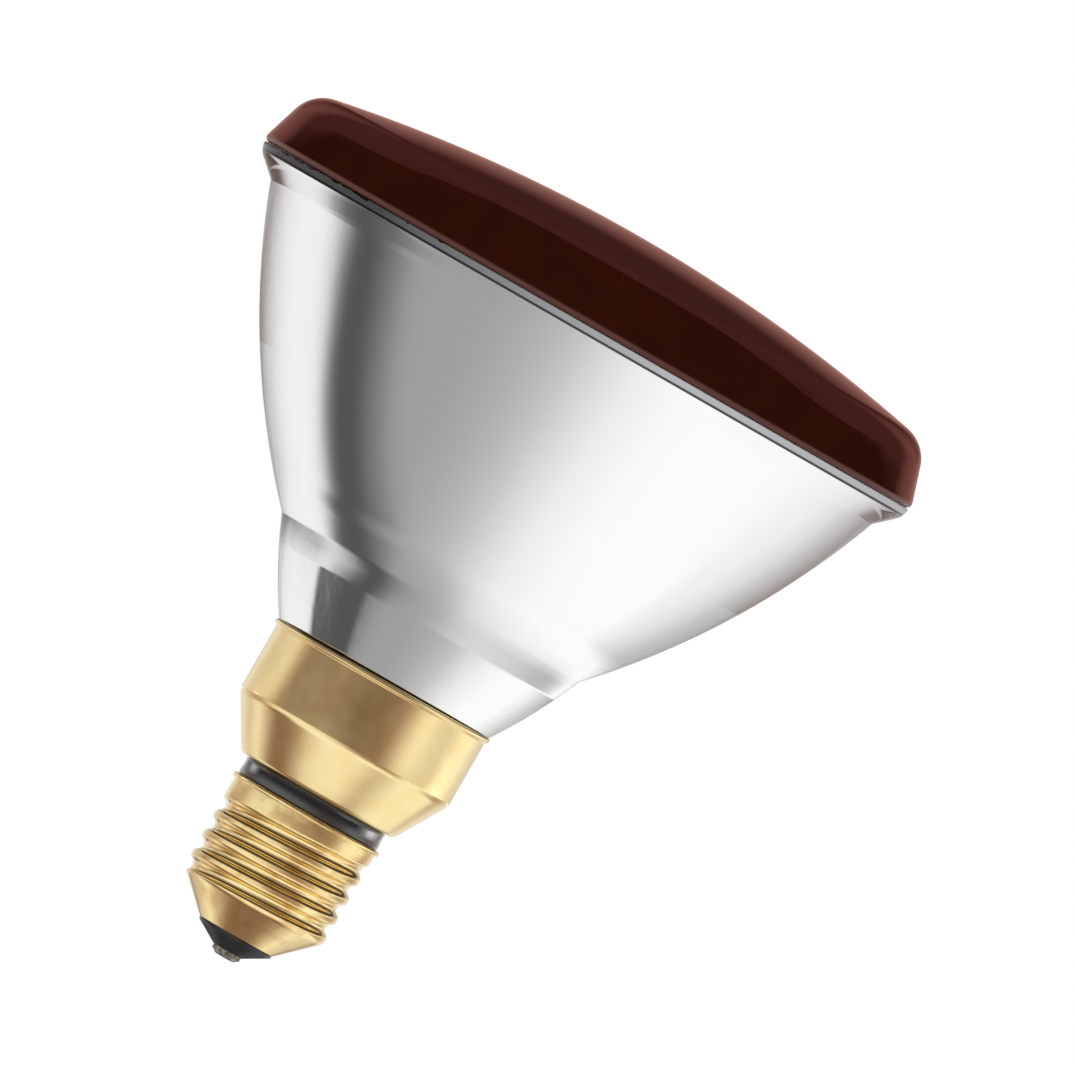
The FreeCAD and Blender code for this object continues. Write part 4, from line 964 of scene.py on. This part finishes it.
def makeDrum(settings):
    # Cards in a circle round the lamp, seen by gloss only. (r sin a, -r cos a, z) for compass angle a. A pale
    # lid closes it above, up to the bowl.
    angle = np.linspace(-math.pi, math.pi, settings["drumColumns"], endpoint=False)
    circle = np.stack([np.sin(angle), -np.cos(angle)], axis=1)
    band = gridFaces(2, len(angle), False).tolist()

    def circleAt(radiusName, heightName):
        return np.column_stack([circle * settings[radiusName], np.full(len(angle), settings[heightName])])

    mesh = bpy.data.meshes.new("cards")
    mesh.from_pydata(np.vstack([circleAt("drumRadius", "floorZ"), circleAt("drumRadius", "drumTopZ")]), [], band)
    material, tree = glowMaterial("cards")
    toRight, away, height = objectParts(tree).outputs
    share = compassShare(tree, toRight, away)
    ramps = []
    for cards in (shellCards, ringCards, skirtCards):
        ramp = addNode(tree, "ValToRGB", links={"Fac": share})
        setRamp(ramp, stopsWithin(180, cards))
        ramps.append(ramp)
    shown = ramps[0]
    for step, ramp in ((settings["capCardZ"], ramps[1]), (settings["ringCardZ"], ramps[2])):
        start = step - settings["cardBlend"] / 2
        above = addNode(tree, "MapRange", {1: start, 2: start + settings["cardBlend"]}, {"Value": height})
        shown = addNode(tree, "Mix", colourMix, {0: above, 6: shown, 7: ramp})
    forBowl = addNode(tree, "MapRange", {
        1: settings["bowlCardZ"], 2: settings["bowlCardZ"] + settings["bowlBlend"]}, {"Value": height})
    shown = addNode(tree, "Mix", {**colourMix, 7: grey(settings["bowlCardGrey"])}, {0: forBowl, 6: shown})
    glow = addNode(tree, "Emission", links={"Color": shown})
    addNode(tree, "OutputMaterial", links={"Surface": glow})
    mesh.materials.append(material)
    glossOnly(addObject("cards", mesh))

    lidMesh = bpy.data.meshes.new("lid")
    lidMesh.from_pydata(np.vstack([circleAt("drumRadius", "lidZ"), circleAt("lidRadius", "lidZ")]), [], band)
    lidMaterial, lidTree = glowMaterial("lid")
    face = addNode(lidTree, "NewGeometry")
    lidStrength = addNode(lidTree, "MapRange", {3: settings["lidGlow"], 4: settings["lidTopGlow"]}, {
        "Value": face.outputs["Backfacing"]})
    lidGlow = addNode(lidTree, "Emission", {"Color": warm(1.0, 1.0)}, {"Strength": lidStrength})
    addNode(lidTree, "OutputMaterial", links={"Surface": lidGlow})
    lidMesh.materials.append(lidMaterial)
    glossOnly(addObject("lid", lidMesh))


def makeWorld():
    world = bpy.data.worlds.new("studio")
    world.use_nodes = True
    bpy.context.scene.world = world
    tree = world.node_tree
    tree.nodes.clear()
    place = addNode(tree, "TexCoord")
    direction = addNode(tree, "SeparateXYZ", links={"Vector": place.outputs["Generated"]})
    toRight, away, up = direction.outputs
    # Ramps want the direction's parts from 0 to 1.
    halved = addNode(tree, "VectorMath", {
        "operation": "MULTIPLY_ADD", 1: (0.5, 0.5, 0.5), 2: (0.5, 0.5, 0.5)}, {0: place.outputs["Generated"]})
    share = addNode(tree, "SeparateXYZ", links={"Vector": halved})

    # What the mirror behind the glass sees.
    across = addNode(tree, "ValToRGB", links={"Fac": share.outputs["X"]})
    setRamp(across, stopsWithin(1, [
        (-1, 0.36), (-0.48, 0.37), (-0.33, 0.41), (-0.16, 0.475), (0, 0.575), (0.16, 0.74), (0.32, 0.89),
        (0.47, 0.975), (0.6, 1.03), (0.7, 1.04), (1, 1.04)]))
    leftBack = addNode(tree, "ValToRGB", links={"Fac": share.outputs["Y"]})
    setRamp(leftBack, stopsWithin(1, [
        (-0.3, 0.36), (-0.15, 0.3), (-0.06, 0.22), (0.02, 0.15), (0.1, 0.09), (0.25, 0.08), (0.32, 0.14),
        (0.38, 0.36), (0.43, 0.66), (0.5, 0.87), (0.58, 0.95), (0.72, 0.95), (0.82, 0.85), (0.92, 0.68), (1, 0.42)]))
    rightBack = addNode(tree, "ValToRGB", links={"Fac": share.outputs["Y"]})
    setRamp(rightBack, stopsWithin(1, [(0.45, 1), (0.75, 0.88), (0.95, 0.66)]))
    back = addNode(tree, "MapRange", {1: -0.25, 2: -0.1}, {"Value": away})
    left = addNode(tree, "MapRange", {1: -0.42, 2: -0.25, 3: 1.0, 4: 0.0}, {"Value": toRight})
    leftSide = addNode(tree, "Mix", colourMix, {0: back, 6: across, 7: leftBack})
    rightSide = addNode(tree, "Mix", {**colourMix, "blend_type": "MULTIPLY", 0: 1.0}, {6: across, 7: rightBack})
    lowPart = addNode(tree, "Mix", colourMix, {0: left, 6: rightSide, 7: leftSide})
    levelPart = addNode(tree, "ValToRGB", links={"Fac": compassShare(tree, toRight, away)})
    setRamp(levelPart, stopsWithin(180, [
        (-180, 0.42), (-170, 0.58), (-160, 0.78), (-150, 0.92), (-140, 0.96), (-125, 0.93), (-119, 0.75),
        (-113, 0.36), (-107, 0.13), (-98, 0.08), (-88, 0.12), (-80, 0.17), (-70, 0.25), (-56, 0.29), (-42, 0.31),
        (-28, 0.35), (-14, 0.4), (0, 0.49), (14, 0.65), (29, 0.79), (42, 0.88), (56, 0.96), (70, 1.0), (99, 1.03),
        (116, 1.0), (125, 0.96), (137, 0.9), (148, 0.76), (158, 0.6), (168, 0.5), (180, 0.42)]))
    low = addNode(tree, "MapRange", {1: -0.56, 2: -0.5}, {"Value": up})
    behindGlass = addNode(tree, "Mix", colourMix, {0: low, 6: lowPart, 7: levelPart})

    # What gloss sees below and above the drum.
    underneath = addNode(tree, "ValToRGB", links={"Fac": share.outputs["Y"]})
    setRamp(underneath, stopsWithin(1, [
        (-1, 1.05, 0), (-0.44, 1.05, 0), (-0.34, 0.74, 0.3), (-0.25, 0.44, 0.7), (-0.11, 0.27, 1), (0.08, 0.25, 1),
        (0.16, 0.32, 1), (0.29, 0.62, 0.4), (0.48, 0.98, 0), (0.7, 0.8, 0.2), (1, 0.7, 0.2)]))
    brightSide = addNode(tree, "MapRange", {1: 0.43, 2: 0.7}, {"Value": toRight})
    sideways = addNode(tree, "Math", {"operation": "ABSOLUTE"}, {0: toRight})
    # A dark card right under the cap, behind it, for its black glass.
    backwards = addNode(tree, "MapRange", {1: 0.4, 2: 0.46}, {"Value": away})
    middle = addNode(tree, "MapRange", {1: 0.2, 2: 0.38, 3: 0.85, 4: 0.0}, {"Value": sideways})
    darkCard = addNode(tree, "Math", {"operation": "MULTIPLY"}, {0: backwards, 1: middle})
    below = addNode(tree, "Mix", {**colourMix, 7: grey(1.05)}, {0: brightSide, 6: underneath})
    belowBoth = addNode(tree, "Mix", {**colourMix, 7: grey(0.04)}, {0: darkCard, 6: below})

    # Above, for the front glass: dark in front, a dull red card behind with a clear edge, paler at the horizon.
    edge = addNode(tree, "ValToRGB", links={"Fac": up})
    setRamp(edge, [(height, grey(value)) for height, value in [
        (0.15, 0.84), (0.2, 0.78), (0.3, 0.56), (0.4, 0.26), (0.5, 0.08), (0.62, 0.0), (0.87, 0.08), (0.95, 0.28)]])
    beyond = addNode(tree, "Math", {"operation": "SUBTRACT"}, {0: away, 1: edge})
    onCard = addNode(tree, "MapRange", {1: -0.02, 2: 0.02}, {"Value": beyond})
    card = addNode(tree, "ValToRGB", links={"Fac": away})
    setRamp(card, [(0.0, (0.45, 0.13, 0.13, 1)), (0.3, (0.42, 0.13, 0.13, 1)), (0.66, (0.27, 0.08, 0.08, 1)),
                   (0.88, (0.11, 0.032, 0.032, 1)), (0.962, (0.075, 0.024, 0.021, 1)),
                   (0.974, (0.22, 0.08, 0.07, 1)), (0.99, (0.34, 0.15, 0.125, 1))])
    corner = addNode(tree, "MapRange", {1: 0.78, 2: 0.86}, {"Value": away})
    outward = addNode(tree, "MapRange", {1: 0.12, 2: 0.35}, {"Value": sideways})
    cornerCard = addNode(tree, "Math", {"operation": "MULTIPLY"}, {0: corner, 1: outward})
    shown = addNode(tree, "Mix", {**colourMix, 6: grey(0.004)}, {0: onCard, 7: card})
    above = addNode(tree, "Mix", {**colourMix, 7: (0.43, 0.15, 0.125, 1)}, {0: cornerCard, 6: shown})
    horizon = addNode(tree, "MapRange", {1: 0.05, 2: 0.12, 3: 1.0, 4: 0.0}, {"Value": up})
    aboveAll = addNode(tree, "Mix", {**colourMix, 7: (0.5, 0.24, 0.21, 1)}, {0: horizon, 6: above})
    level = addNode(tree, "MapRange", {1: -0.25, 2: -0.1}, {"Value": up})
    onGloss = addNode(tree, "Mix", colourMix, {0: level, 6: belowBoth, 7: aboveAll})

    path = addNode(tree, "LightPath")
    painted = addNode(tree, "Mix", colourMix, {0: path.outputs["Is Transmission Ray"], 6: onGloss, 7: behindGlass})
    plain = addNode(tree, "Math", {"operation": "MAXIMUM"}, {
        0: path.outputs["Is Camera Ray"], 1: path.outputs["Is Diffuse Ray"]})
    seen = addNode(tree, "Mix", {**colourMix, 7: grey(1.0)}, {0: plain, 6: painted})
    background = addNode(tree, "Background", links={"Color": seen})
    addNode(tree, "OutputWorld", links={"Surface": background})


makeFloor(studio)
makeDrum(studio)
makeWorld()
bpy.context.scene.view_settings.view_transform = "Standard"
print("studio made")
